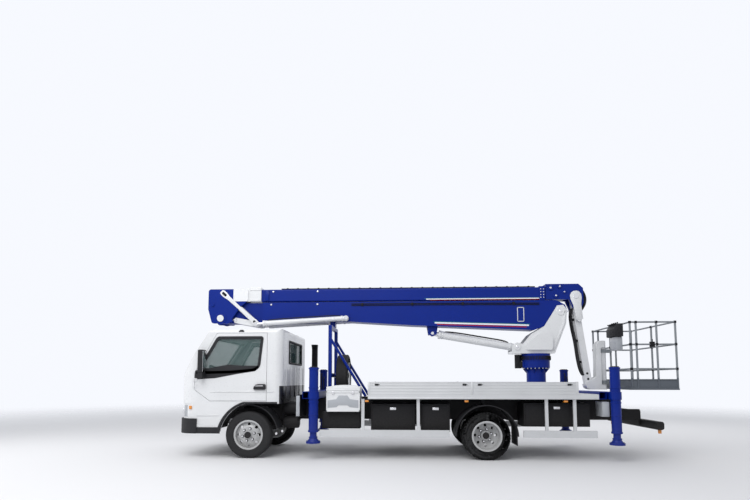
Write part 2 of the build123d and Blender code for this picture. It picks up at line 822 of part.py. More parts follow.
# Mudguards: over the twin wheels hung from the deck, over the front wheels under the cab, and the trim
rear_arch_outer_y = deck_half_width - 3
arch_top_z = tyre_radius + arch_radius - arch_wall / 2
arches = [bumper.part]
for side in (-1, 1):
    with BuildPart() as rear_arch:
        add(arch_shell(wheelbase, side, rear_arch_inner_y, rear_arch_outer_y, tyre_radius))
        with Locations((at(wheelbase), side * 640, (arch_top_z + subframe_top - seat_gap) / 2)):
            Box(40, 60, subframe_top - seat_gap - arch_top_z)
    with BuildPart() as front_arch:
        add(arch_shell(0, side, *front_arch_y, front_arch_bottom_z))
        with Locations((at(0), side * 780, (arch_top_z + cab_floor_z - seat_gap) / 2)):
            Box(60, 200, cab_floor_z - seat_gap - arch_top_z)
    arches += [rear_arch.part, front_arch.part]
save(Compound(children=arches), "mudguards")

# Side guards: rails below the deck on posts
guard_runs = (  # front end, rear end, post places
    (1180, arch_front_x - 20, (1875, 2766)),
    (arch_rear_x, deck_rear_x - 30, (4792, 5231)))
guard_y = deck_half_width - 40
with BuildPart() as guards:
    for side in (-1, 1):
        for x_low, x_high, posts in guard_runs:
            with Locations((at((x_low + x_high) / 2), side * guard_y, sum(guard_z) / 2)):
                Box(x_high - x_low, guard_thickness, guard_z[1] - guard_z[0])
            for x in posts:
                with Locations((at(x), side * (guard_y - guard_thickness), (guard_z[0] + subframe_top) / 2)):
                    Box(50, guard_thickness, subframe_top - guard_z[0])
save(guards.part, "side_guards")

# Toolbox behind the front outrigger, and its lid hinged along its inner top edge
box_y = -(deck_half_width - box_depth / 2)
box_middle_x = at(box_x + box_length / 2)
lid_hinge_x = (box_x + 90, box_x + box_length - 90)
with BuildPart() as toolbox:
    with Locations((box_middle_x, box_y, box_z + box_height / 2)):
        Box(box_length, box_depth, box_height)
    with Locations((box_middle_x, box_y, box_z + box_height / 2 + 10)):
        Box(box_length - 2 * box_wall, box_depth - 2 * box_wall, box_height, mode=Mode.SUBTRACT)
    bracket_reach = deck_half_width - box_depth - rail_outer_y
    for x in lid_hinge_x:
        with Locations((at(x), -rail_outer_y - bracket_reach / 2, box_z + 90)):
            Box(50, bracket_reach, 80)
        for end in (-1, 1):
            with Locations((at(x + end * 31), lid_hinge_y, lid_hinge_z)):
                Cylinder(lid_hinge_radius, 20, rotation=(0, 90, 0))
            with Locations((at(x + end * 31), lid_hinge_y - 4, lid_hinge_z - 17)):
                Box(20, 12, 34)
save(toolbox.part, "toolbox")
with BuildPart() as lid:
    with Locations((box_middle_x, box_y, box_z + box_height + lid_height / 2 + seat_gap)):
        Box(box_length, box_depth, lid_height)
    fillet(lid.edges().group_by(Axis.Z)[-1], 14)
    for x in lid_hinge_x:
        with Locations((at(x), lid_hinge_y, lid_hinge_z)):
            Cylinder(lid_hinge_radius, 40, rotation=(0, 90, 0))
        with Locations((at(x), lid_hinge_y - 8, lid_hinge_z + 4)):
            Box(40, 16, 12)
save(lid.part, "toolbox_lid")

# Lockers, cabinets and the tank, slung from the rails
first_bay = arch_front_x - deck_front_x - 40
first_split = deck_front_x + 40 + first_bay * 0.5625
lockers_table = (  # front, rear, side, outer y, low z, high z, edge radius
    (780, 850, -1, deck_half_width - 70, 665, 1024, 8),
    (1300, 1830, 1, deck_half_width - 30, 620, 940, locker_edge),
    (deck_front_x + 40, first_split, -1, locker_y, 430, 880, locker_edge),
    (first_split + 100, arch_front_x, -1, locker_y, 430, 880, locker_edge),
    (deck_front_x + 40, deck_front_x + 940, 1, locker_y, 430, 880, tank_edge),
    (arch_rear_x + 40, deck_rear_x - 90, -1, locker_y, 520, 900, locker_edge),
    (arch_rear_x + 40, deck_rear_x - 90, 1, locker_y, 520, 900, locker_edge))
with BuildPart() as lockers:
    for x_low, x_high, side, y_outer, z_low, z_high, edge in lockers_table:
        add(block(x_low, x_high, *sorted((side * rail_outer_y, side * y_outer)), z_low, z_high, edge))
save(lockers.part, "lockers")

# Spare wheel, standing across the frame behind the boom support
spare_tyre = Location((0, 0, 0), (0, 0, -90)) * tyre_solid(-axle_x, 0, 0)
spare_rim = Location((0, 0, 0), (0, 0, -90)) * wheel_solid(-axle_x, 0, 0, 1, (10, 60), 40, 95)
spare = [Location((at(spare_x), 0, spare_z)) * piece for piece in (spare_tyre, spare_rim)]
save(Compound(children=spare), "spare_wheel")

# Boom support: two posts, raking braces, a cross bar and a rest pad under the lower boom
carrier_end_x = spare_x + 75
with BuildPart() as support:
    for side in (-1, 1):
        with Locations((at(support_x), side * support_post_y, (subframe_top + support_bar_z) / 2)):
            Box(support_post, support_post, support_bar_z - subframe_top)
        add(rod_between((support_x, support_bar_z - 230), (brace_foot_x, subframe_top + brace_radius + 2),
                        brace_radius, side * support_post_y))
    with Locations((at(support_x), 0, support_bar_z - support_post / 2)):
        Box(support_post, 2 * support_post_y + support_post, support_post)
    add(block(support_x - 45, support_x + 45, -90, 90, support_bar_z, lower_nose_z - seat_gap))
    with Locations((at(support_x), 0, spare_z)):
        Box(50, 2 * support_post_y, 70)
    with Locations(Location((at((support_x + carrier_end_x) / 2), 0, spare_z), (0, 90, 0))):
        Cylinder(spindle_radius - seat_gap, carrier_end_x - support_x)
save(support.part, "boom_support")

# Outrigger housings: square tubes across the subframe, one for each beam
housing_inner = beam_size + 2 * beam_clearance
housing_outer = housing_inner + 2 * beam_wall
housing_x = [x + shift for x in (front_jack_x, rear_jack_x) for shift in (0, -beam_stagger)]
with BuildPart() as housings:
    for x in housing_x:
        with Locations((at(x), 0, subframe_top + housing_outer / 2)):
            Box(housing_outer, 2 * housing_half_length, housing_outer)
    for x in housing_x:
        with Locations((at(x), 0, subframe_top + housing_outer / 2)):
            Box(housing_inner, 2 * housing_half_length, housing_inner, mode=Mode.SUBTRACT)
save(housings.part, "outrigger_housings")

# Outriggers: beam and jack tube slide out together, the leg slides down in the tube
beam_z = subframe_top + beam_wall + beam_clearance + beam_size / 2
tube_length = jack_top_z - jack_bottom_z
tube_middle_z = (jack_top_z + jack_bottom_z) / 2
outrigger_table = (  # name, place along the truck, side
    ("front_left", front_jack_x, -1), ("front_right", front_jack_x - beam_stagger, 1),
    ("rear_left", rear_jack_x, -1), ("rear_right", rear_jack_x - beam_stagger, 1))
for name, x, side in outrigger_table:
    with BuildPart() as outrigger:
        with Locations((at(x), side * (beam_inner_y + jack_y) / 2, beam_z)):
            Box(beam_size, jack_y - beam_inner_y, beam_size)
        with Locations((at(x), side * jack_y, tube_middle_z)):
            Cylinder(jack_radius, tube_length)
        with Locations((at(x), side * jack_y, beam_z)):
            Cylinder(jack_radius + 14, beam_size + 20)
        with Locations((at(x), side * jack_y, tube_middle_z - 20)):
            Cylinder(jack_bore, tube_length, mode=Mode.SUBTRACT)
    save(outrigger.part, f"outrigger_{name}")
    with BuildPart() as leg:
        with Locations((at(x), side * jack_y, (pad_bottom_z + leg_top_z) / 2)):
            Cylinder(leg_radius, leg_top_z - pad_bottom_z)
        with Locations((at(x), side * jack_y, pad_bottom_z + pad_thickness / 2)):
            Cylinder(pad_radius, pad_thickness)
        with Locations((at(x), side * jack_y, pad_bottom_z + pad_thickness + 30)):
            Cone(pad_radius - 20, leg_radius, 60)
    save(leg.part, f"jack_leg_{name}")

# Pedestal: one turned column with its flange and the fixed half of the slewing ring
with BuildPart() as column:
    with BuildSketch(Plane.XZ):
        with BuildLine():
            Polyline(
                (0, subframe_top), (pedestal_radius + 30, subframe_top),
                (pedestal_radius + 30, subframe_top + 50),
                (pedestal_radius, subframe_top + 80), (pedestal_radius, pedestal_top_z),
                (flange_radius, pedestal_top_z), (flange_radius, flange_top_z),
                (slew_ring_radius, flange_top_z), (slew_ring_radius, slew_ring_top_z - seat_gap),
                (0, slew_ring_top_z - seat_gap), close=True)
        make_face()
    revolve(axis=Axis.Z)

# Gusset under the flange, repeated round the column
with BuildPart() as gusset:
    with BuildSketch(Plane.XZ):
        with BuildLine():
            Polyline((pedestal_radius - 10, pedestal_top_z + 5), (flange_radius - 10, pedestal_top_z + 5),
                     (flange_radius - 10, pedestal_top_z - 12),
                     (pedestal_radius - 10, pedestal_top_z - gusset_depth), close=True)
        make_face()
    extrude(amount=gusset_thickness / 2, both=True)

# Pedestal on its base plate, with the slewing motor beside the ring
with BuildPart() as pedestal:
    with Locations((0, 0, subframe_top + 12)):
        Box(pedestal_window - 20, pedestal_window - 20, 24)
    add(column.part)
    for step in range(gusset_count):
        add(Rot(0, 0, 360 / gusset_count * (step + 0.5)) * gusset.part)
    with Locations((motor_x - slew_x, 0, sum(motor_z) / 2)):
        Cylinder(motor_radius, motor_z[1] - motor_z[0])
    with Locations((motor_x - slew_x + 50, 0, (pedestal_top_z + flange_top_z) / 2)):
        Box(100, 2 * motor_radius + 20, flange_top_z - pedestal_top_z - 20)
save(Location((at(slew_x), 0, 0)) * pedestal.part, "pedestal")

# Turret: base plate, two leaning side plates with a rounded cover each, and the two pins
turret_outline = (
    (turret_base_x[0], slew_ring_top_z), (turret_base_x[0], 1880), (4540, 1930), (4640, 1900), (4783, 2074),
    (5021, 2216), (5190, 2480), (5250, 2580), (5360, 2590), (5420, 2500), (5400, 2260),
    (turret_base_x[1], slew_ring_top_z))
cover_outline = ((4690, 1795), (4705, 1910), (4905, 2075), (5070, 2110), (5150, 2010), (5140, 1795))
cover_depth = 50
turret_plate_y = lower_half_width + 10
turret_outer_y = turret_plate_y + column_plate
with BuildPart() as turret:
    add(block(*turret_base_x, -turret_outer_y, turret_outer_y, slew_ring_top_z,
              slew_ring_top_z + turret_base_thickness))
    for side in (-1, 1):
        add(side_plate(turret_outline, *sorted((side * turret_plate_y, side * turret_outer_y))))
        cover_y = sorted((side * turret_outer_y, side * (turret_outer_y + cover_depth)))
        add(side_plate(cover_outline, *cover_y, 35))
    for x, z in ((pivot_x, pivot_z), (lift_base_x, lift_base_z)):
        add(cross_pin(x, z, pin_radius, -turret_outer_y, turret_outer_y))
save(turret.part, "turret")

# Lift cylinder: barrel on the turret, rod up to the ears under the lower boom
lift_dx, lift_dz = lift_eye_x - lift_base_x, lift_eye_z - lift_base_z
lift_length = hypot(lift_dx, lift_dz)
lift_barrel_end = lift_length - 124
lift_rod_start = 110


def along(base, direction, length, distance):
    """The (x, z) point at a distance from base, along a direction of a known length."""
    return base[0] + direction[0] * distance / length, base[1] + direction[1] * distance / length


def lift_point(distance):
    """A point on the lift cylinder's axis, counted from its foot."""
    return along((lift_base_x, lift_base_z), (lift_dx, lift_dz), lift_length, distance)


with BuildPart() as lift_barrel:
    add(rod_between(lift_point(0), lift_point(lift_barrel_end), lift_barrel_radius))
    add(cross_pin(lift_base_x, lift_base_z, 66, -60, 60))
    add(rod_between(lift_point(90), lift_point(lift_length), lift_rod_radius + running_gap),
        mode=Mode.SUBTRACT)
    add(cross_pin(lift_base_x, lift_base_z, pin_radius + running_gap, -70, 70), mode=Mode.SUBTRACT)
save(lift_barrel.part, "lift_barrel")
with BuildPart() as lift_rod:
    add(rod_between(lift_point(lift_rod_start), lift_point(lift_length - 30), lift_rod_radius))
    add(cross_pin(lift_eye_x, lift_eye_z, 56, -42, 42))
save(lift_rod.part, "lift_rod")

# Lower boom: deep at the turret, level over the boom support, narrow at the nose
lower_outline = (
    (-27, lower_top_z), (-27, lower_nose_z), (1600, lower_nose_z), (2692, 2247), (4854, 2150),
    (5140, 2260), (5400, 2380), (5440, 2480), (5400, 2600), (5250, lower_top_z))
nose_outline = (
    (-27, lower_top_z), (-620, lower_top_z), (-860, 2560), (-900, 2400), (-870, 2320), (-660, 2300),
    (-480, 2300), (-27, lower_nose_z))
lift_ear_outline = ((2960, 2260), (2990, 2080), (3134, 2080), (3164, 2260))
rocker_pin_y = rocker_y + rocker_plate + 3
fold_pin_y = fold_cylinder_y + 45
with BuildPart() as lower_boom:
    add(side_plate(lower_outline, -lower_half_width, lower_half_width))
    add(side_plate(nose_outline, -nose_half_width, nose_half_width))
    add(cross_pin(rocker_x, rocker_z, small_pin_radius, -rocker_pin_y, rocker_pin_y))
    for side in (-1, 1):
        add(side_plate(lift_ear_outline, *sorted((side * lift_ear_y, side * (lift_ear_y + lift_ear)))))
    add(cross_pin(fold_base_x, fold_base_z + 40, 60, -lower_half_width, lower_half_width))
    add(cross_pin(fold_base_x, fold_base_z, small_pin_radius, -fold_pin_y, fold_pin_y))
    for x, z in ((knuckle_x, knuckle_z), (pivot_x, pivot_z)):
        add(cross_pin(x, z, pin_radius + running_gap, -200, 200), mode=Mode.SUBTRACT)
save(lower_boom.part, "lower_boom")

# Fold cylinders: one each side of the lower boom, from its side pins to the rockers
fold_dx, fold_dz = link_pin_x - fold_base_x, link_pin_z - fold_base_z
fold_length = hypot(fold_dx, fold_dz)


def fold_point(distance):
    """A point on a fold cylinder's axis, counted from its foot."""
    return along((fold_base_x, fold_base_z), (fold_dx, fold_dz), fold_length, distance)


barrels, rods = [], []
for side in (-1, 1):
    y = side * fold_cylinder_y
    with BuildPart() as barrel:
        add(rod_between(fold_point(0), fold_point(fold_length - 130), fold_barrel_radius, y))
        add(cross_pin(fold_base_x, fold_base_z, 46, y - 40, y + 40))
        add(rod_between(fold_point(70), fold_point(fold_length), fold_rod_radius + running_gap, y),
            mode=Mode.SUBTRACT)
        add(cross_pin(fold_base_x, fold_base_z, small_pin_radius + running_gap, y - 60, y + 60),
            mode=Mode.SUBTRACT)
    barrels.append(barrel.part)
    with BuildPart() as fold_rod:
        add(rod_between(fold_point(90), fold_point(fold_length - 20), fold_rod_radius, y))
        add(cross_pin(link_pin_x, link_pin_z, 40, y - 24, y + 24))
    rods.append(fold_rod.part)
save(Compound(children=barrels), "fold_barrels")
save(Compound(children=rods), "fold_rods")


def bar_outline(start, end, half_width):
    """A flat bar between two (x, z) points, as a list of corners with pointed ends."""
    length = hypot(end[0] - start[0], end[1] - start[1])
    ux, uz = (end[0] - start[0]) / length, (end[1] - start[1]) / length
    w = half_width
    return [(start[0] - uz * w, start[1] + ux * w), (start[0] - ux * w, start[1] - uz * w),
            (start[0] + uz * w, start[1] - ux * w), (end[0] + uz * w, end[1] - ux * w),
            (end[0] + ux * w, end[1] + uz * w), (end[0] - uz * w, end[1] + ux * w)]


# Rockers on the nose and links from them up to the knuckle plates
rocker_bar = bar_outline((rocker_x, rocker_z), (link_pin_x, link_pin_z), rocker_half_height)
link_bar = bar_outline((link_pin_x, link_pin_z), (link_top_x, link_top_z), link_half_height)
rocker_arms, link_arms = [], []
for side in (-1, 1):
    with BuildPart() as rocker:
        add(side_plate(rocker_bar, *sorted((side * rocker_y, side * (rocker_y + rocker_plate)))))
        add(cross_pin(link_pin_x, link_pin_z, link_pin_radius, *sorted((side * rocker_y, side * 190))))
        add(cross_pin(rocker_x, rocker_z, small_pin_radius + running_gap, *sorted((side * 90, side * 200))),
            mode=Mode.SUBTRACT)
    rocker_arms.append(rocker.part)
    with BuildPart() as link:
        add(side_plate(link_bar, *sorted((side * link_y, side * (link_y + rocker_plate)))))
        add(cross_pin(link_pin_x, link_pin_z, link_pin_radius + running_gap,
                      *sorted((side * 100, side * 200))), mode=Mode.SUBTRACT)
    link_arms.append(link.part)
save(Compound(children=rocker_arms), "rockers")
save(Compound(children=link_arms), "links")

# Knuckle plates with rounded corners and the main folding pin under a round cap
knuckle_outline = (
    (-1034, 2560), (-960, 2300), (-650, 2290), (-440, 2600), (-300, 2712), (-300, 2930), (-1034, 2930))
knuckle_outer_y = knuckle_plate_y + knuckle_plate
with BuildPart() as knuckle_plates:
    for side in (-1, 1):
        add(side_plate(knuckle_outline, *sorted((side * knuckle_plate_y, side * knuckle_outer_y)), 48))
        add(cross_pin(knuckle_x, knuckle_z, knuckle_cap_radius,
                      *sorted((side * knuckle_outer_y, side * (knuckle_outer_y + knuckle_cap)))))
    add(cross_pin(knuckle_x, knuckle_z, pin_radius, -knuckle_outer_y, knuckle_outer_y))
save(knuckle_plates.part, "knuckle_plates")

# Pale foot of the upper boom, between the knuckle plates
upper_foot_outline = ((-480, 2705), (-480, 2960), (upper_front_x, 2925), (upper_front_x, 2700))
save(side_plate(upper_foot_outline, -knuckle_plate_y, knuckle_plate_y), "upper_boom_foot")


def boom_section(front_x, rear_x, half_width, height, corner):
    """One length of a rectangular boom section with rounded corners, along the upper boom's middle."""
    with BuildPart() as section:
        with BuildSketch(Plane.YZ.offset(at(front_x))):
            with Locations((0, upper_bottom_z + upper_height / 2)):
                RectangleRounded(2 * half_width, height, corner)
        extrude(amount=rear_x - front_x)
    return section.part


# Upper boom: a rectangular tube, open at its rear end
with BuildPart() as upper_boom:
    add(boom_section(upper_front_x, upper_rear_x, upper_half_width, upper_height, upper_corner))
    add(boom_section(upper_front_x + 40, upper_rear_x + 40, upper_half_width - upper_wall,
                     upper_height - 2 * upper_wall, upper_corner - upper_wall), mode=Mode.SUBTRACT)
save(upper_boom.part, "upper_boom")

# Inner boom with its wear pads at the front, and the head with its bosses at the rear
head_outline = (
    (head_front_x, upper_bottom_z), (5480, upper_bottom_z), (5545, 2540), (5690, 2533), (5731, 2640),
    (5731, 2900), (5650, head_top_z), (head_front_x, head_top_z))
inner_half = upper_half_width - upper_wall - inner_gap
inner_height = upper_height - 2 * upper_wall - 2 * inner_gap
pad_grow = inner_gap - seat_gap
head_outer_y = head_plate_y + head_plate
with BuildPart() as inner_boom:
    add(boom_section(inner_front_x, head_front_x, inner_half, inner_height, 14))
    add(boom_section(inner_front_x, inner_front_x + wear_pad_length, inner_half + pad_grow,
                     inner_height + 2 * pad_grow, 15))
    add(block(head_front_x, head_block_x, -head_plate_y, head_plate_y, upper_bottom_z, head_top_z))
    for side in (-1, 1):
        add(side_plate(head_outline, *sorted((side * head_plate_y, side * head_outer_y))))
        add(cross_pin(jib_top_x, jib_top_z, head_boss_radius,
                      *sorted((side * head_outer_y, side * (head_outer_y + head_boss)))))
    add(cross_pin(jib_top_x, jib_top_z, pin_radius, -head_outer_y, head_outer_y))
save(inner_boom.part, "inner_boom")

# Jib: a straight arm that hangs from the head
jib_bar = bar_outline((jib_top_x, jib_top_z), (jib_low_x, jib_low_z), jib_half_height)
with BuildPart() as jib:
    add(side_plate(jib_bar, -jib_half_width, jib_half_width))
    add(cross_pin(jib_top_x, jib_top_z, jib_half_height, -85, 85))
    add(cross_pin(jib_low_x, jib_low_z, jib_half_height, -jib_half_width, jib_half_width))
    add(cross_pin(jib_top_x, jib_top_z, pin_radius + running_gap, -90, 90), mode=Mode.SUBTRACT)
    add(cross_pin(jib_low_x, jib_low_z, small_pin_radius + running_gap, -90, 90), mode=Mode.SUBTRACT)
save(jib.part, "jib")

# Basket carrier: two plates on the jib's lower pin, and the post that the basket turns on
carrier_outline = (
    (5730, jib_low_z), (5760, 1120), (5830, carrier_z[0]), (6080, carrier_z[0]), (6080, 1170), (6010, 1190),
    (6010, 1830), (6080, 1850), (6080, carrier_z[1]), (5990, carrier_z[1]), (5950, 1900), (5930, 1330),
    (5800, 1258))
carrier_outer_y = carrier_plate_y + carrier_plate
with BuildPart() as carrier:
    for side in (-1, 1):
        add(side_plate(carrier_outline, *sorted((side * carrier_plate_y, side * carrier_outer_y))))
    add(block(basket_yaw_x - 115, basket_yaw_x - 15, -carrier_plate_y, carrier_plate_y,
              carrier_z[0], carrier_z[0] + 70))
    add(block(basket_yaw_x - 80, basket_yaw_x - 10, -carrier_plate_y, carrier_plate_y,
              carrier_z[1] - 120, carrier_z[1] - 20))
    with Locations((at(basket_yaw_x), 0, sum(carrier_z) / 2)):
        Cylinder(yaw_post_radius, carrier_z[1] - carrier_z[0])
    add(cross_pin(jib_low_x, jib_low_z, small_pin_radius, -carrier_outer_y, carrier_outer_y))
save(carrier.part, "basket_carrier")

# Basket: floor with kick plates, posts that are double at the front, three rails all round, and two lugs
tube = basket_tube
basket_rear_x = basket_front_x + basket_depth
basket_mid_x = (basket_front_x + basket_rear_x) / 2
rail_x = (basket_front_x + tube, basket_rear_x - tube)
side_post_x = (basket_front_x + tube + double_post_gap, basket_mid_x + 60)
basket_rail_y = basket_half_length - tube
kick_z = basket_floor_z + basket_floor + kick_height / 2
post_height = basket_top_z - basket_floor_z - tube
post_z = basket_floor_z + post_height / 2
rail_heights = (basket_top_z - 2 * tube, (basket_top_z + kick_z) / 2 + 120, kick_z + 240)
with BuildPart() as basket:
    add(block(basket_front_x, basket_rear_x, -basket_half_length, basket_half_length, basket_floor_z,
              basket_floor_z + basket_floor))
    for x in rail_x:
        with Locations((at(x), 0, kick_z)):
            Box(kick_thickness, 2 * basket_rail_y, kick_height)
        with Locations(*[(at(x), y, post_z) for y in (-basket_rail_y, 0, basket_rail_y)]):
            Cylinder(tube, post_height)
        with Locations(*[(at(x), 0, z) for z in rail_heights]):
            Cylinder(tube - 2, 2 * basket_rail_y, rotation=(90, 0, 0))
    for side in (-1, 1):
        with Locations((at(basket_mid_x), side * basket_rail_y, kick_z)):
            Box(basket_depth - 2 * tube, kick_thickness, kick_height)
        with Locations(*[(at(x), side * basket_rail_y, post_z) for x in side_post_x]):
            Cylinder(tube, post_height)
        with Locations(*[(at(basket_mid_x), side * basket_rail_y, z) for z in rail_heights]):
            Cylinder(tube - 2, basket_depth - 2 * tube, rotation=(0, 90, 0))
    for z in lug_heights:
        with Locations((at((basket_yaw_x + basket_front_x + tube) / 2), 0, z)):
            Box(basket_front_x + tube - basket_yaw_x, 110, 60)
        with Locations((at(basket_yaw_x), 0, z)):
            Cylinder(yaw_post_radius + 20, 60)
    with Locations((at(basket_yaw_x), 0, sum(lug_heights) / 2)):
        Cylinder(yaw_post_radius + running_gap, 1200, mode=Mode.SUBTRACT)
save(basket.part, "basket")

# Control station on the basket's front rail: the console over an equipment box
station_rear = basket_front_x + 2 - seat_gap
console_outline = (
    (station_rear - 160, 1990), (station_rear - 160, 2120), (station_rear - 110, 2200), (station_rear, 2220),
    (station_rear, 1990))
with BuildPart() as control:
    add(side_plate(console_outline, station_y - 160, station_y + 160))
    add(block(station_rear - 120, station_rear, station_y - 120, station_y + 120, 1760, 1990))
save(control.part, "control_box")
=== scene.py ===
"""Looks of the parked work-platform truck: finishes, fine pieces, camera, light and floor.

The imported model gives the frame. Every length is in metres, the front of the truck points along -X,
its left side along -Y, and Z is up. The fine pieces count X from the front axle, as the CAD does, and
the bench moves them into the frame.
"""
from __future__ import annotations

import json
import logging
import math
from dataclasses import dataclass, field
from enum import Enum
from typing import ClassVar, Iterable, Sequence

import bpy
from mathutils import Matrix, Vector

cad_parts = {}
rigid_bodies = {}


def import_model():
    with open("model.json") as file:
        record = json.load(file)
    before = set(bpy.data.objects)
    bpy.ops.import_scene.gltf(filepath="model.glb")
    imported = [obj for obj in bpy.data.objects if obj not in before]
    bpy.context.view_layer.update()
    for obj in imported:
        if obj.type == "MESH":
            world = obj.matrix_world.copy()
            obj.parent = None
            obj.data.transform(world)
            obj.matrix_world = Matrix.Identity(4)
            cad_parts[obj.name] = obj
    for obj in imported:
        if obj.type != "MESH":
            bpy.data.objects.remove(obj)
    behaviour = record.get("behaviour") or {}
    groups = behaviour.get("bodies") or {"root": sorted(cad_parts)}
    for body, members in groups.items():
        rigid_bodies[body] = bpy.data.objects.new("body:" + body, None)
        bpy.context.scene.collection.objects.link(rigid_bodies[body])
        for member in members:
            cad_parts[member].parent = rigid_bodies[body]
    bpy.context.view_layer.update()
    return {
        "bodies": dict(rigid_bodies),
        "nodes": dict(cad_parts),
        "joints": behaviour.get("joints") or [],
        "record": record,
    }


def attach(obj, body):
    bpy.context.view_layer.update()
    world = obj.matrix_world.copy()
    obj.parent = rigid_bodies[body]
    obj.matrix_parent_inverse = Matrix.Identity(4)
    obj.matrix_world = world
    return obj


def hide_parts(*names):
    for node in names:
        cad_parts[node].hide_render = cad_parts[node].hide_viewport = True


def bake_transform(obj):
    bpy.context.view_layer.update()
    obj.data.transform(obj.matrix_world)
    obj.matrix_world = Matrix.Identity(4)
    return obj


LOG = logging.getLogger("truck")
Point = tuple[float, float, float] | Vector
Colour = tuple[float, float, float]
Place = tuple[float, float]

# The photograph's frame, and the places in it that set the camera
PHOTO_WIDTH_PX = 750
PHOTO_HEIGHT_PX = 500
HORIZON_PX = 381.0
FOCAL_PX = 500.0

# The front axle's X in the frame, and the rear axle's distance behind it
AXLE_X = -2.875
WHEELBASE = 3.85

SIDES = (("left", -1), ("right", 1))
BOTH = (-1, 1)


def at(x: float) -> float:
    """Turn a place counted from the front axle into the frame's own X.

    Args:
        x: Distance behind the front axle.

    Returns:
        The same place as an X in the frame.
    """
    return AXLE_X + x


def placed(point: Point) -> tuple[float, float, float]:
    """The same for a point, whose X alone is counted from the front axle."""
    x, y, z = point
    return at(x), y, z


class Axis(Enum):
    """The axis that a round piece is turned about."""

    X = 0
    Y = 1
    Z = 2


@dataclass(frozen=True)
class Value:
    """A number that a shader works out, so that node maths reads as an expression."""

    recipe: "Recipe"
    socket: bpy.types.NodeSocket

    def _with(self, operation: str, first: "Value | float", second: "Value | float") -> "Value":
        """Add one Math node.

        Args:
            operation: The node's operation.
            first: Its first input.
            second: Its second input.

        Returns:
            The node's result.
        """
        return self.recipe.node("ShaderNodeMath", {"operation": operation}, {0: first, 1: second})

    def __add__(self, other: "Value | float") -> "Value":
        """Sum of two values."""
        return self._with("ADD", self, other)

    def __sub__(self, other: "Value | float") -> "Value":
        """Difference of two values."""
        return self._with("SUBTRACT", self, other)

    def __rsub__(self, other: float) -> "Value":
        """Difference with a plain number on the left."""
        return self._with("SUBTRACT", other, self)

    def __mul__(self, other: "Value | float") -> "Value":
        """Product of two values."""
        return self._with("MULTIPLY", self, other)

    def above(self, level: float) -> "Value":
        """One where the value is over a level, and zero elsewhere."""
        return self._with("GREATER_THAN", self, level)

    def below(self, level: float) -> "Value":
        """One where the value is under a level, and zero elsewhere."""
        return self._with("LESS_THAN", self, level)

    def clipped(self) -> "Value":
        """The value held between zero and one."""
        return self.recipe.node("ShaderNodeClamp", {}, {0: self})


@dataclass
class Recipe:
    """A material's node tree, built by code."""

    name: str
    material: bpy.types.Material = field(init=False)
    shader: bpy.types.Node = field(init=False)

    def __post_init__(self) -> None:
        """Make the material with its one surface shader."""
        self.material = bpy.data.materials.new(self.name)
        self.material.use_nodes = True
        self.shader = self.material.node_tree.nodes["Principled BSDF"]

    def node(self, kind: str, settings: dict, inputs: dict, output: int | str = 0) -> Value:
        """Add any node.

        Args:
            kind: The node's type.
            settings: Its properties, set before its sockets.
            inputs: Values or links of its sockets, by name or number.
            output: The output that is wanted.

        Returns:
            That output as a value.
        """
        made = self.material.node_tree.nodes.new(kind)
        for key, setting in settings.items():
            setattr(made, key, setting)
        for key, given in inputs.items():
            self.feed(made.inputs[key], given)
        return Value(self, made.outputs[output])

    def feed(self, socket: bpy.types.NodeSocket, given: "Value | float | Sequence[float]") -> None:
        """Give a socket a link or a plain value."""
        if isinstance(given, Value):
            self.material.node_tree.links.new(given.socket, socket)
        elif isinstance(given, (tuple, list)) and len(given) == 3 and socket.type == "RGBA":
            socket.default_value = (*given, 1.0)
        else:
            socket.default_value = given

    def place(self) -> Value:
        """The point on the piece, in the frame's metres."""
        return self.node("ShaderNodeTexCoord", {}, {}, "Object")

    def parts(self) -> tuple[Value, Value, Value]:
        """The point's X, Y and Z as three values."""
        made = self.material.node_tree.nodes.new("ShaderNodeSeparateXYZ")
        self.feed(made.inputs[0], self.place())
        return tuple(Value(self, out) for out in made.outputs)

    def noise(self, scale: float, detail: float = 3.0, stretch: Point = (1.0, 1.0, 1.0)) -> Value:
        """Soft random variation over the surface.

        Args:
            scale: Blotches per metre.
            detail: Octaves of finer variation.
            stretch: Scale along each axis.

        Returns:
            A value near 0.5.
        """
        mapped = self.node("ShaderNodeMapping", {}, {"Vector": self.place(), "Scale": stretch})
        return self.node("ShaderNodeTexNoise", {}, {"Vector": mapped, "Scale": scale, "Detail": detail})

    def mix(self, share: "Value | float", first: "Value | Colour", second: "Value | Colour") -> Value:
        """Blend two colours.

        Args:
            share: How much of the second, from 0 to 1.
            first: The colour at 0.
            second: The colour at 1.

        Returns:
            The blended colour.
        """
        made = self.material.node_tree.nodes.new("ShaderNodeMix")
        made.data_type = "RGBA"
        self.feed(made.inputs[0], share)
        self.feed(made.inputs[6], first)
        self.feed(made.inputs[7], second)
        return Value(self, made.outputs[2])

    def bump(self, height: Value, distance: float, strength: float = 1.0) -> None:
        """Raise the surface's shading by a height.

        Args:
            height: The height, from 0 to 1.
            distance: Metres that a height of 1 stands for.
            strength: Share of the effect.
        """
        normal = self.node("ShaderNodeBump", {},
                           {"Height": height, "Distance": distance, "Strength": strength})
        self.feed(self.shader.inputs["Normal"], normal)

    def set(self, **sockets: "Value | float | Sequence[float]") -> None:
        """Set the surface shader's sockets, with underscores for spaces in their names."""
        for key, given in sockets.items():
            self.feed(self.shader.inputs[key.replace("_", " ")], given)


# Colours that more than one finish uses
WHITE, PALE = (0.8, 0.81, 0.82), (0.85, 0.86, 0.88)
BLUE, RED, TEAL = (0.002, 0.02, 0.235), (0.34, 0.012, 0.035), (0.01, 0.13, 0.2)
BLACK, DUST = (0.01, 0.01, 0.012), (0.36, 0.33, 0.29)


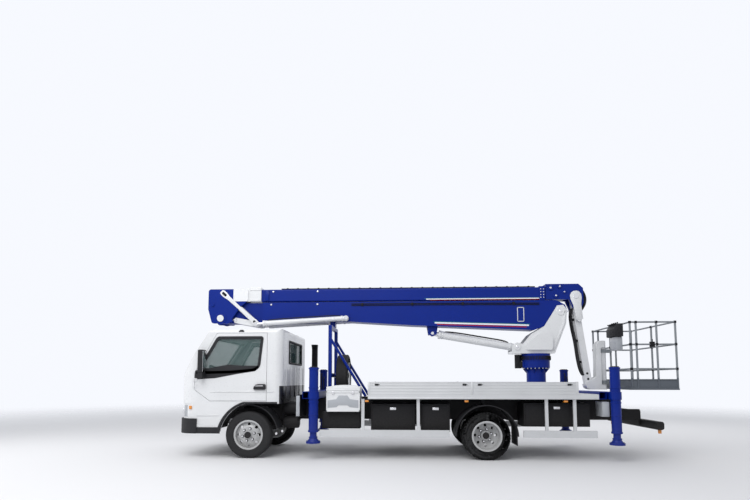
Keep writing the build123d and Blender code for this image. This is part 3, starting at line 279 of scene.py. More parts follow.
@dataclass(frozen=True)
class Stripe:
    """A painted band along a boom, seen on both of its sides.

    Its fields are X at its two ends, Z of its upper edge at each end, its height and its colour.
    """

    x_low: float
    x_high: float
    z_low_x: float
    z_high_x: float
    height: float
    colour: Colour


@dataclass(frozen=True)
class Paint:
    """Gloss vehicle paint with a faint orange peel, road dust low down and optional stripes."""

    name: str
    colour: Colour
    roughness: float = 0.28
    dust: float = 0.25
    stripes: tuple[Stripe, ...] = ()
    gloss: float = 0.5
    coat: float = 0.35

    def build(self) -> bpy.types.Material:
        """Make the paint.

        Returns:
            The finished material.
        """
        recipe = Recipe(self.name)
        x, _, z = recipe.parts()
        cloud = recipe.noise(2.2, 4.0)
        deeper = tuple(channel * 0.86 for channel in self.colour)
        colour = recipe.mix(cloud, deeper, self.colour)
        for stripe in self.stripes:
            start, end = at(stripe.x_low), at(stripe.x_high)
            slope = (stripe.z_high_x - stripe.z_low_x) / (end - start)
            drop = (x - start) * slope + stripe.z_low_x - z
            inside = drop.above(0.0) * drop.below(stripe.height) * x.above(start) * x.below(end)
            colour = recipe.mix(inside, colour, stripe.colour)
        grit = recipe.noise(38.0, 6.0)
        low = (1.0 - z * 1.1).clipped()
        film = (low * self.dust * grit * 1.6).clipped()
        colour = recipe.mix(film, colour, DUST)
        recipe.set(Base_Color=colour, Roughness=(film * 0.5 + grit * 0.06 + self.roughness).clipped(),
                   Specular_IOR_Level=self.gloss, Coat_Weight=self.coat, Coat_Roughness=0.12)
        recipe.bump(recipe.noise(240.0, 1.0), 0.00025, 0.35)
        return recipe.material


@dataclass(frozen=True)
class Plastic:
    """Moulded plastic or rubber with a fine leathery grain."""

    name: str
    colour: Colour
    roughness: float = 0.55
    grain: float = 320.0
    depth: float = 0.0006
    gloss: float = 0.3

    def build(self) -> bpy.types.Material:
        """Make the plastic.

        Returns:
            The finished material.
        """
        recipe = Recipe(self.name)
        cloud = recipe.noise(9.0, 5.0)
        paler = tuple(min(1.0, channel * 1.5 + 0.004) for channel in self.colour)
        recipe.set(Base_Color=recipe.mix(cloud, self.colour, paler), Roughness=cloud * 0.2 + self.roughness,
                   Specular_IOR_Level=self.gloss)
        recipe.bump(recipe.noise(self.grain, 2.0), self.depth, 0.6)
        return recipe.material


@dataclass(frozen=True)
class Metal:
    """Bare or lightly finished metal, drawn along one axis."""

    name: str
    colour: Colour
    roughness: float = 0.35
    metallic: float = 1.0
    stretch: Point = (1.0, 14.0, 14.0)
    scale: float = 26.0

    def build(self) -> bpy.types.Material:
        """Make the metal.

        Returns:
            The finished material.
        """
        recipe = Recipe(self.name)
        streak = recipe.noise(self.scale, 5.0, self.stretch)
        cloud = recipe.noise(3.0, 4.0)
        duller = tuple(channel * 0.74 for channel in self.colour)
        recipe.set(Base_Color=recipe.mix(cloud * 0.5 + streak * 0.5, duller, self.colour),
                   Roughness=(streak * 0.22 + self.roughness), Metallic=self.metallic)
        recipe.bump(streak, 0.0004, 0.4)
        return recipe.material


@dataclass(frozen=True)
class Glass:
    """Tinted cab glass, with a faint random smear."""

    name: str
    colour: Colour
    see_through: float = 0.55

    def build(self) -> bpy.types.Material:
        """Make the glass.

        Returns:
            The finished material.
        """
        recipe = Recipe(self.name)
        smear = recipe.noise(5.0, 4.0)
        recipe.set(Base_Color=recipe.mix(smear, self.colour, tuple(c * 1.25 for c in self.colour)),
                   Roughness=(smear * 0.05 + 0.03), Alpha=1.0 - self.see_through, Specular_IOR_Level=0.7)
        return recipe.material


@dataclass(frozen=True)
class Lens:
    """A lamp's clear or coloured lens, ribbed inside."""

    name: str
    colour: Colour

    def build(self) -> bpy.types.Material:
        """Make the lens.

        Returns:
            The finished material.
        """
        recipe = Recipe(self.name)
        x, y, _ = recipe.parts()
        ribs = recipe.node("ShaderNodeMath", {"operation": "SINE"}, {0: (x + y) * 520.0})
        shade = (ribs * 0.5 + 0.5).clipped()
        darker = tuple(channel * 0.7 for channel in self.colour)
        recipe.set(Base_Color=recipe.mix(shade, darker, self.colour), Roughness=0.08, Coat_Weight=0.6)
        recipe.bump(shade, 0.0008, 0.5)
        return recipe.material


class Finishes:
    """Every material of the truck, by a plain name."""

    def __init__(self) -> None:
        """Build the materials once."""
        upper = (Stripe(2.92, 5.05, 2.74, 2.74, 0.01, TEAL), Stripe(2.95, 5.05, 2.73, 2.73, 0.017, PALE),
                 Stripe(3.02, 5.05, 2.713, 2.713, 0.018, RED))
        lower = (Stripe(3.08, 4.78, 2.318, 2.262, 0.016, TEAL), Stripe(3.1, 4.76, 2.302, 2.247, 0.026, PALE),
                 Stripe(3.14, 4.72, 2.268, 2.214, 0.018, RED))
        back = (Stripe(0.505, 0.7, 1.17, 1.17, 0.5, BLACK),)
        patch = (Stripe(-0.57, -0.08, 2.965, 2.965, 0.262, WHITE),)
        motor = (Stripe(4.5, 4.65, 1.745, 1.745, 0.28, BLACK),)
        kick = (Stripe(6.15, 7.05, 1.3, 1.3, 0.25, (0.105, 0.12, 0.14)),)

        def blue(name: str, dust: float, stripes: tuple[Stripe, ...]) -> bpy.types.Material:
            """The blue of the booms, nearly matt, with its own marks."""
            return Paint(name, BLUE, 0.3, dust, stripes, 0.14, 0.05).build()

        self.all = {
            "white": Paint("cab_white", WHITE, 0.25).build(),
            "shell_white": Paint("cab_shell_white", WHITE, 0.25, 0.25, back).build(),
            "blue": blue("boom_blue", 0.08, ()),
            "upper_blue": blue("upper_boom_blue", 0.0, upper),
            "lower_blue": blue("lower_boom_blue", 0.0, lower),
            "knuckle_blue": blue("knuckle_blue", 0.0, patch),
            "pedestal_blue": blue("pedestal_blue", 0.0, motor),
            "black": Plastic("black_plastic", (0.012, 0.012, 0.014)).build(),
            "rubber": Plastic("tyre_rubber", (0.02, 0.02, 0.021), 0.72, 210.0, 0.001, 0.2).build(),
            "frame": Paint("frame_black", (0.008, 0.008, 0.01), 0.5, 0.1, (), 0.18, 0.0).build(),
            "wheel": Paint("wheel_silver", (0.5, 0.51, 0.52), 0.34, 0.35).build(),
            "deck": Metal("deck_aluminium", (0.7, 0.71, 0.72), 0.42, 0.55).build(),
            "chrome": Metal("rod_chrome", (0.8, 0.8, 0.82), 0.1).build(),
            "basket": Paint("basket_steel", (0.25, 0.27, 0.29), 0.42, 0.0, kick, 0.35, 0.0).build(),
            "grey": Paint("cabinet_grey", (0.42, 0.44, 0.47), 0.32, 0.2).build(),
            "glass": Glass("tinted_glass", (0.075, 0.135, 0.13), 0.6).build(),
            "lamp": Lens("clear_lens", (0.44, 0.46, 0.49)).build(),
            "amber": Lens("amber_lens", (0.85, 0.3, 0.03)).build(),
            "red": Lens("red_lens", (0.5, 0.02, 0.02)).build(),
            "seat": Plastic("seat_cloth", (0.045, 0.048, 0.055), 0.85, 620.0, 0.0012).build(),
        }

    def __getitem__(self, name: str) -> bpy.types.Material:
        """The material with that name."""
        return self.all[name]


# The CAD nodes that each finish goes on
FINISHED_NODES = {
    "frame": "chassis_frame front_axle rear_axle engine_block knuckle_left knuckle_right lockers",
    "black": "mudguards steering_wheel mirror_left mirror_right control_box",
    "shell_white": "cab_shell",
    "white": "front_skirt door_left door_right toolbox toolbox_lid turret upper_boom_foot lift_barrel "
             "fold_barrels rockers links jib basket_carrier",
    "glass": "cab_glass door_glass_left door_glass_right", "lamp": "headlamps", "seat": "cab_interior",
    "deck": "deck side_guards", "rubber": "spare_wheel", "blue": "boom_support outrigger_housings inner_boom",
    "pedestal_blue": "pedestal", "lower_blue": "lower_boom", "upper_blue": "upper_boom",
    "knuckle_blue": "knuckle_plates", "chrome": "lift_rod fold_rods", "basket": "basket",
}
CORNER_FINISH = {"tyre": "rubber", "wheel": "wheel", "outrigger": "blue", "jack_leg": "blue"}


def dress_frame(frame: dict, finishes: Finishes) -> None:
    """Give every CAD node its finish.

    Args:
        frame: The loaded frame, with its CAD nodes by name under "nodes".
        finishes: The truck's materials.
    """
    finish_of = {node: finish for finish, nodes in FINISHED_NODES.items() for node in nodes.split()}
    for name, node in frame["nodes"].items():
        stem = name.split("_front_")[0].split("_rear_")[0]
        finish = finish_of.get(name) or CORNER_FINISH[stem]
        node.data.materials.clear()
        node.data.materials.append(finishes[finish])
        LOG.info("dressed %s in %s", name, finish)


@dataclass
class Studio:
    """The camera, the lights, the floor and the sky."""

    distance: float = 8.1
    yaw_deg: float = 3.0
    pitch_deg: float = 5.0
    height: float = 1.25
    opposite_x: float = 2.073
    near_y: float = -1.0
    # Where the floor starts to thin out and where it ends, and its whole size
    floor_near: float = 6.0
    floor_far: float = 24.0
    floor_size: float = 120.0
    sensor_mm: float = 36.0
    view_end: float = 300.0
    # The sky's strength as a light and as it is seen, and its tint
    sky_light: float = 0.55
    sky_seen: float = 1.0
    sky_tint: Colour = (0.93, 0.95, 1.0)

    def camera(self) -> None:
        """Stand the camera where the photograph was taken from."""
        data = bpy.data.cameras.new("camera")
        data.sensor_width = self.sensor_mm
        data.lens = FOCAL_PX / PHOTO_WIDTH_PX * data.sensor_width
        below_middle = HORIZON_PX - PHOTO_HEIGHT_PX / 2
        data.shift_y = (below_middle - FOCAL_PX * math.tan(math.radians(self.pitch_deg))) / PHOTO_WIDTH_PX
        data.clip_end = self.view_end
        camera = bpy.data.objects.new("camera", data)
        bpy.context.collection.objects.link(camera)
        yaw = math.radians(self.yaw_deg)
        camera.location = (at(self.opposite_x + self.distance * math.sin(yaw)),
                           self.near_y - self.distance * math.cos(yaw), self.height)
        camera.rotation_euler = (math.radians(90.0 + self.pitch_deg), 0.0, yaw)
        bpy.context.scene.camera = camera

    def floor(self) -> None:
        """Lay the pale floor, which thins out into the backdrop far from the truck."""
        bpy.ops.mesh.primitive_plane_add(size=self.floor_size)
        floor = bpy.context.object
        floor.name = "floor"
        recipe = Recipe("pale_floor")
        reach = recipe.node("ShaderNodeVectorMath", {"operation": "LENGTH"}, {0: recipe.place()}, "Value")
        share = ((self.floor_far - reach) * (1.0 / (self.floor_far - self.floor_near))).clipped()
        recipe.set(Base_Color=(0.78, 0.78, 0.79), Roughness=0.85, Alpha=share * share * (3.0 - share * 2.0))
        floor.data.materials.append(recipe.material)

    def sky(self) -> None:
        """Fill the world with soft light and show it white to the camera and to gloss."""
        world = bpy.data.worlds.new("studio")
        bpy.context.scene.world = world
        world.use_nodes = True
        tree = world.node_tree
        background = tree.nodes["Background"]
        path = tree.nodes.new("ShaderNodeLightPath")
        seen = path.outputs["Is Camera Ray"]
        for ray in ("Is Glossy Ray", "Is Transmission Ray"):
            either = tree.nodes.new("ShaderNodeMath")
            either.operation = "MAXIMUM"
            tree.links.new(seen, either.inputs[0])
            tree.links.new(path.outputs[ray], either.inputs[1])
            seen = either.outputs[0]
        level = tree.nodes.new("ShaderNodeMix")
        tree.links.new(seen, level.inputs[0])
        level.inputs[2].default_value = self.sky_light
        level.inputs[3].default_value = self.sky_seen
        tree.links.new(level.outputs[0], background.inputs["Strength"])
        background.inputs["Color"].default_value = (*self.sky_tint, 1.0)

    def lamps(self) -> None:
        """Hang a broad key light over the camera side and a soft fill behind."""
        for name, place, size, power in (
                ("key", (-3.0, -7.0, 8.0), 7.0, 520.0), ("fill", (5.0, 6.0, 7.0), 8.0, 260.0),
                ("front", (-9.0, -2.0, 5.0), 5.0, 200.0)):
            data = bpy.data.lights.new(name, "AREA")
            data.size = size
            data.energy = power
            lamp = bpy.data.objects.new(name, data)
            bpy.context.collection.objects.link(lamp)
            lamp.location = place
            aim = Vector((0.0, 0.0, 1.2)) - Vector(place)
            lamp.rotation_euler = aim.to_track_quat("-Z", "Y").to_euler()

    def build(self) -> None:
        """Set up the whole studio."""
        bpy.context.scene.view_settings.view_transform = "Standard"
        self.camera()
        self.floor()
        self.sky()
        self.lamps()


# Edges sharper than this many degrees stay sharp, and those over the second are the ones to round
SMOOTH_DEG = 32.0
ROUND_DEG = 30.0
ROUND_STEPS = 2
# Largest rounding of a box, as a share of its smallest side
ROUND_SHARE = 0.45
# Steps round a quarter of a hose, and along it between two control points
HOSE_ROUND_STEPS = 3
HOSE_RUN_STEPS = 6


class Bench:
    """One piece being modelled: primitives are shaped, then joined, smoothed and set to ride."""

    finishes: ClassVar[Finishes]
    open: ClassVar[list["Bench"]] = []

    def __init__(self, name: str, finish: str, body: str = "root", replaces: str | None = None,
                 bend: tuple[str, Point, Point] | None = None) -> None:
        """Start a piece.

        Args:
            name: The piece's name.
            finish: Its finish.
            body: The CAD body that it moves with.
            replaces: The CAD node that it stands for, if any.
            bend: For a flexible piece across a joint, the other body and the two places in the frame where
            its bend starts and ends; such a piece is not bent, but left fixed in the frame and not set to
            ride on a body.
        """
        self.name, self.finish, self.body = name, self.finishes[finish], body
        self.replaces, self.bend = replaces, bend
        self.lumps: list[bpy.types.Object] = []
        self.open.append(self)

    @staticmethod
    def clear() -> None:
        """Deselect everything, so that an operator acts on what it is given alone."""
        bpy.ops.object.select_all(action="DESELECT")

    @classmethod
    def pick(cls, *objects: bpy.types.Object) -> None:
        """Select these objects alone, the first of them active."""
        cls.clear()
        for each in objects:
            each.select_set(True)
        bpy.context.view_layer.objects.active = objects[0]

    def keep(self) -> bpy.types.Object:
        """Move the primitive's place into its mesh and add it to the piece."""
        lump = bpy.context.object
        self.pick(lump)
        bpy.ops.object.transform_apply(location=True, rotation=True, scale=True)
        self.lumps.append(lump)
        return lump

    def soften(self, lump: bpy.types.Object, width: float) -> None:
        """Round the sharp edges of a lump.

        Args:
            lump: The shape.
            width: Radius of the rounding, or 0 for none.
        """
        if width <= 0:
            return
        self.pick(lump)
        bevel = lump.modifiers.new("round", "BEVEL")
        bevel.width, bevel.segments, bevel.limit_method = width, ROUND_STEPS, "ANGLE"
        bevel.angle_limit = math.radians(ROUND_DEG)
        bpy.ops.object.modifier_apply(modifier=bevel.name)

    def block(self, corner: Point, other: Point, edge: float = 0.003, tilt: float = 0.0) -> None:
        """Add a box.

        Args:
            corner: Any corner.
            other: The opposite one.
            edge: Radius of its edges.
            tilt: Degrees that it is turned about Y, around its middle.
        """
        self.clear()
        corner, other = placed(corner), placed(other)
        middle = [(a + b) / 2 for a, b in zip(corner, other)]
        size = [abs(b - a) for a, b in zip(corner, other)]
        turn = (0, math.radians(tilt), 0)
        bpy.ops.mesh.primitive_cube_add(size=1, location=middle, scale=size, rotation=turn)
        self.soften(self.keep(), min(edge, min(size) * ROUND_SHARE))

    def bar(self, start: Point, end: Point, radius: float, sides: int = 20, edge: float = 0.0,
            tip: float | None = None) -> None:
        """Add a round bar, or a taper where tip is given.

        Args:
            start: Middle of its first end.
            end: Middle of its other end.
            radius: Its radius at the start.
            sides: Number of flats.
            edge: Radius of the end edges.
            tip: Its radius at the end.
        """
        self.clear()
        start, end = Vector(placed(start)), Vector(placed(end))
        run = end - start
        bpy.ops.mesh.primitive_cone_add(
            vertices=sides, radius1=radius, radius2=radius if tip is None else tip, depth=run.length,
            location=(start + end) / 2, rotation=run.to_track_quat("Z", "Y").to_euler())
        self.soften(self.keep(), edge)

    def blocks(self, corner: Point, other: Point, edge: float = 0.003) -> None:
        """Add the same box on both sides of the truck, its corners given for the right one."""
        for sign in BOTH:
            self.block((corner[0], sign * corner[1], corner[2]), (other[0], sign * other[1], other[2]), edge)

    def peg(self, place: Place, one: float, other: float, radius: float, sides: int = 20,
            edge: float = 0.0) -> None:
        """Add a round bar across the truck.

        Args:
            place: Its X and Z.
            one: The Y of one of its ends.
            other: The Y of the opposite end.
            radius: Its radius.
            sides: Number of flats.
            edge: Radius of the end edges.
        """
        low, high = sorted((one, other))
        self.bar((place[0], low, place[1]), (place[0], high, place[1]), radius, sides, edge)

    def outline(self, corners: Sequence[Place], one: float, other: float, edge: float = 0.0) -> None:
        """Add a plate, drawn as an outline and given its thickness by extrusion.

        Args:
            corners: The outline's points, each its X and its Z.
            one: The Y of one of its faces.
            other: The Y of the opposite face.
            edge: Radius of its edges.
        """
        self.clear()
        bpy.ops.mesh.primitive_circle_add(vertices=len(corners), radius=1, fill_type="NGON")
        low, high = sorted((one, other))
        for vertex, (x, z) in zip(bpy.context.object.data.vertices, corners):
            vertex.co = (at(x), low, z)
        bpy.ops.object.mode_set(mode="EDIT")
        bpy.ops.mesh.select_all(action="SELECT")
        self.thicken(high - low)
        self.soften(self.keep(), edge)

    @staticmethod
    def thicken(depth: float) -> None:
        """Extrude all that is selected along Y, face it outwards and leave edit mode."""
        bpy.ops.mesh.extrude_region_move(TRANSFORM_OT_translate={"value": (0, depth, 0)})
        bpy.ops.mesh.select_all(action="SELECT")
        bpy.ops.mesh.normals_make_consistent(inside=False)
        bpy.ops.object.mode_set(mode="OBJECT")

    def turned(self, profile: Sequence[Place], centre: Point, axis: Axis = Axis.Z,
               steps: int = 32) -> bpy.types.Object:
        """Add a shape turned on a lathe.

        Args:
            profile: A closed outline, each point its radius and its place along the axis.
            centre: The point that places along the axis are counted from.
            axis: The lathe's axis.
            steps: Number of steps in a full turn.

        Returns:
            The shape.
        """
        self.clear()
        bpy.ops.mesh.primitive_circle_add(vertices=len(profile), radius=1, fill_type="NOTHING")
        lump = bpy.context.object
        across = (axis.value + 1) % 3
        centre = placed(centre)
        for vertex, (radius, along) in zip(lump.data.vertices, profile):
            place = list(centre)
            place[axis.value] += along
            place[across] += radius
            vertex.co = place
        direction = [0.0, 0.0, 0.0]
        direction[axis.value] = 1.0
        bpy.ops.object.mode_set(mode="EDIT")
        bpy.ops.mesh.select_all(action="SELECT")
        bpy.ops.mesh.spin(steps=steps, angle=math.tau, center=centre, axis=direction, use_normal_flip=False)
        bpy.ops.mesh.select_all(action="SELECT")
        bpy.ops.mesh.remove_doubles(threshold=0.00001)
        bpy.ops.mesh.dissolve_degenerate()
        bpy.ops.mesh.select_all(action="SELECT")
        bpy.ops.mesh.normals_make_consistent(inside=False)
        bpy.ops.object.mode_set(mode="OBJECT")
        return self.keep()

    def hose(self, points: Sequence[Point], radius: float) -> None:
        """Add a clipped hose or pipe that bends smoothly through its route.

        Args:
            points: Control points of its middle line.
            radius: Its radius.
        """
        self.clear()
        curve = bpy.data.curves.new(self.name, "CURVE")
        curve.dimensions = "3D"
        curve.bevel_depth, curve.bevel_resolution, curve.use_fill_caps = radius, HOSE_ROUND_STEPS, True
        curve.resolution_u = HOSE_RUN_STEPS
        line = curve.splines.new("NURBS")
        line.points.add(len(points) - 1)
        for point, place in zip(line.points, points):
            point.co = (*placed(place), 1.0)
        line.order_u = min(3, len(points))
        line.use_endpoint_u = True
        made = bpy.data.objects.new(self.name, curve)
        bpy.context.collection.objects.link(made)
        self.pick(made)
        bpy.ops.object.convert(target="MESH")
        self.keep()

    def nut(self, centre: Point, direction: Point, across: float = 0.024, height: float = 0.014) -> None:
        """Add a hexagon nut with its stud standing proud.

        Args:
            centre: Middle of its seat.
            direction: Way that it points.
            across: Distance over its corners.
            height: Its height.
        """
        way = Vector(direction).normalized()
        seat = Vector(centre)
        self.bar(seat - way * 0.003, seat + way * height, across / 2, 6, 0.0012)
        self.bar(seat, seat + way * (height + 0.005), across * 0.26, 8)

    def boss(self, place: Place, y: float, sign: int, radius: float, height: float) -> None:
        """Add a turned boss with a rounded rim on a side plate.

        Args:
            place: Its middle's X and Z.
            y: The plate's face.
            sign: Way that it stands out along Y.
            radius: Its radius.
            height: How far it stands out.
        """
        rim = min(0.006, height * 0.4)
        self.turned([(0.0, -sign * 0.002), (radius, -sign * 0.002), (radius, sign * (height - rim)),
                     (radius - rim, sign * height), (0.0, sign * height)],
                    (place[0], y, place[1]), Axis.Y, 36)

    def bosses(self, places: Sequence[Place], y: float, radius: float, height: float) -> None:
        """Add a boss at each place on both sides of the truck, with y that of the right side's face."""
        for sign in BOTH:
            for place in places:
                self.boss(place, sign * y, sign, radius, height)

    def done(self) -> None:
        """Join the lumps into the finished piece and set it to move with its body, or, where a bend is given,
        leave it fixed in the frame unbent.
        """
        self.pick(*self.lumps)
        if len(self.lumps) > 1:
            bpy.ops.object.join()
        piece = bpy.context.object
        piece.name = piece.data.name = self.name
        piece.data.materials.clear()
        piece.data.materials.append(self.finish)
        self.pick(piece)
        bpy.ops.object.shade_smooth_by_angle(angle=math.radians(SMOOTH_DEG))
        bend = self.bend
        if bend:
            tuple(bend[1])
            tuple(bend[2])
            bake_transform(piece)
        else:
            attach(piece, self.body)
        if self.replaces:
            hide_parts(self.replaces)
        LOG.info("%s rides on %s, %d faces", self.name, self.body, len(piece.data.polygons))

    @classmethod
    def finish_all(cls) -> None:
        """Finish every piece that is still open, in the order in which they were started."""
        while cls.open:
            cls.open.pop(0).done()


def about(centre: Point, axis: Axis, radius: float, count: int, start: float = 0.0) -> Iterable[Point]:
    """Places evenly round a circle.

    Args:
        centre: Middle of the circle.
        axis: The axis that the circle goes round.
        radius: Its radius.
        count: Number of places.
        start: Angle of the first, in degrees.

    Yields:
        Each place.
    """
    for number in range(count):
        angle = math.radians(start) + math.tau * number / count
        place = list(centre)
        place[(axis.value + 1) % 3] += radius * math.cos(angle)
        place[(axis.value + 2) % 3] += radius * math.sin(angle)
        yield tuple(place)


@dataclass(frozen=True)
class Line:
    """The line between two pins, seen from the side, along which a link's or cylinder's pieces are placed."""

    start: Place
    end: Place

    @property
    def foot(self) -> Vector:
        """The first pin in the frame."""
        return Vector((at(self.start[0]), 0.0, self.start[1]))

    @property
    def run(self) -> Vector:
        """The way from the first pin to the second."""
        return Vector((at(self.end[0]), 0.0, self.end[1])) - self.foot

    @property
    def length(self) -> float:
        """Distance between the pins."""
        return self.run.length

    def point(self, along: float, off: float = 0.0, y: float = 0.0) -> Point:
        """A place by the line.

        Args:
            along: Distance from the first pin.
            off: Distance to the left of the line, for one who looks along it from the truck's left side.
            y: Distance to the right of the truck's middle.

        Returns:
            The place, its X counted from the front axle.
        """
        way = self.run.normalized()
        spot = self.foot + way * along + Vector((-way.z, 0.0, way.x)) * off
        return spot.x - AXLE_X, y, spot.z

    def rim(self, half: Sequence[Place]) -> list[Place]:
        """The outline of a plate that is the same on both sides of the line.

        Args:
            half: Its points on one side, each the place along the line and the distance off it.

        Returns:
            Every point's X and Z.
        """
        points = [self.point(along, off) for along, off in half]
        points += [self.point(along, -off) for along, off in reversed(half)]
        return [(x, z) for x, _, z in points]


@dataclass
class Tyres:
    """Road tyres with ribs, shoulder blocks and raised rings on their walls."""

    radius: float = 0.376
    width: float = 0.205
    bead: float = 0.2225
    steps: int = 96
    groove: float = 0.009
    notch: float = 0.006
    shoulder: Place = (0.062, 0.096)
    shoulder_depth: float = 0.016
    front_y: tuple[float, ...] = (0.862,)
    rear_y: tuple[float, ...] = (0.897, 0.661)
    spare: Point = (1.45, 0.0, 1.352)

    def profile(self) -> list[Place]:
        """The section of one tyre, closed along its bead.

        Returns:
            Points of radius and place across the tyre.
        """
        half, r, dip = self.width / 2, self.radius, self.radius - self.groove
        right = [(self.bead + 0.001, half - 0.0225), (self.bead + 0.014, half - 0.021),
                 (self.bead + 0.022, half - 0.01), (0.262, half - 0.004), (0.265, half - 0.001),
                 (0.275, half - 0.001), (0.278, half - 0.003), (0.3, half), (0.33, half - 0.001),
                 (0.332, half - 0.003), (0.345, half - 0.004), (0.36, half - 0.01), (r - 0.006, half - 0.019),
                 (r - 0.001, half - 0.028), (r, 0.058), (dip, 0.056), (dip, 0.048), (r, 0.046),
                 (r, 0.022), (dip, 0.02), (dip, 0.012), (r, 0.01)]
        return right + [(radius, -place) for radius, place in reversed(right)]

    def one(self, bench: Bench, centre: Point, axis: Axis) -> None:
        """Turn one tyre and cut the notches of its shoulders.

        Args:
            bench: The piece that it belongs to.
            centre: Its middle.
            axis: Its axle.
        """
        lump = bench.turned(self.profile(), centre, axis, self.steps)
        bench.pick(lump)
        hub = (at(centre[0]), *centre[1:])
        others = [number for number in range(3) if number != axis.value]
        for face in lump.data.polygons:
            across = abs(face.center[axis.value] - hub[axis.value])
            spokes = [face.center[number] - hub[number] for number in others]
            step = int((math.atan2(*spokes) / math.tau + 0.5) * self.steps)
            on_shoulder = (math.hypot(*spokes) > self.radius - self.shoulder_depth
                           and self.shoulder[0] < across < self.shoulder[1])
            face.select = on_shoulder and step % 2 == 0
        bpy.ops.object.mode_set(mode="EDIT")
        bpy.ops.mesh.select_mode(type="FACE")
        bpy.ops.mesh.extrude_region_shrink_fatten(TRANSFORM_OT_shrink_fatten={"value": -self.notch})
        bpy.ops.object.mode_set(mode="OBJECT")

    def build(self) -> None:
        """Make the road tyres, in place of the CAD ones, and the spare's."""
        for side, sign in SIDES:
            for end, x, places in (("front", 0.0, self.front_y), ("rear", WHEELBASE, self.rear_y)):
                corner = f"{end}_{side}"
                tread = Bench(f"tread_{corner}", "rubber", f"wheel_{corner}", replaces=f"tyre_{corner}")
                for y in places:
                    self.one(tread, (x, sign * y, self.radius), Axis.Y)
        self.one(Bench("tread_spare", "rubber"), self.spare, Axis.X)


@dataclass
class WheelHardware:
    """Wheel nuts with their seats, hub caps and valve stems."""

    nut_circle: float = 0.1
    nuts: int = 6
    cap_radius: float = 0.054
    height: float = 0.376
    # Each end's name, its X, and the Y of its wheel's face and of its hub's end
    ends: tuple[tuple[str, float, float, float], ...] = (
        ("front", 0.0, 0.934, 0.992), ("rear", WHEELBASE, 0.791, 0.879))

    def build(self) -> None:
        """Fit the nuts, the cap and the valve of every road wheel."""
        z = self.height
        for side, sign in SIDES:
            for end, x, face, hub in self.ends:
                corner, wheel = f"{end}_{side}", f"wheel_{end}_{side}"
                nuts = Bench(f"wheel_nuts_{corner}", "chrome", wheel)
                seats = Bench(f"nut_seats_{corner}", "frame", wheel)
                for place in about((x, sign * face, z), Axis.Y, self.nut_circle, self.nuts, 15.0):
                    nuts.nut(place, (0, sign, 0), 0.032, 0.022)
                    seats.peg((place[0], place[2]), sign * (face - 0.004), sign * (face + 0.005),
                              0.0235, 20, 0.002)
                cap = Bench(f"hub_cap_{corner}", "frame", wheel)
                radius, rise, foot = self.cap_radius, sign * (hub + 0.012), sign * (hub - 0.03)
                cap.turned([(0.0, rise), (radius - 0.012, rise), (radius - 0.004, rise - sign * 0.005),
                            (radius, rise - sign * 0.014), (radius, foot), (0.0, foot)], (x, 0.0, z), Axis.Y)
                cap.hose([(x + out, sign * (face + rise), z + 0.02)
                          for out, rise in ((0.15, -0.01), (0.165, 0.015), (0.175, 0.035))], 0.004)


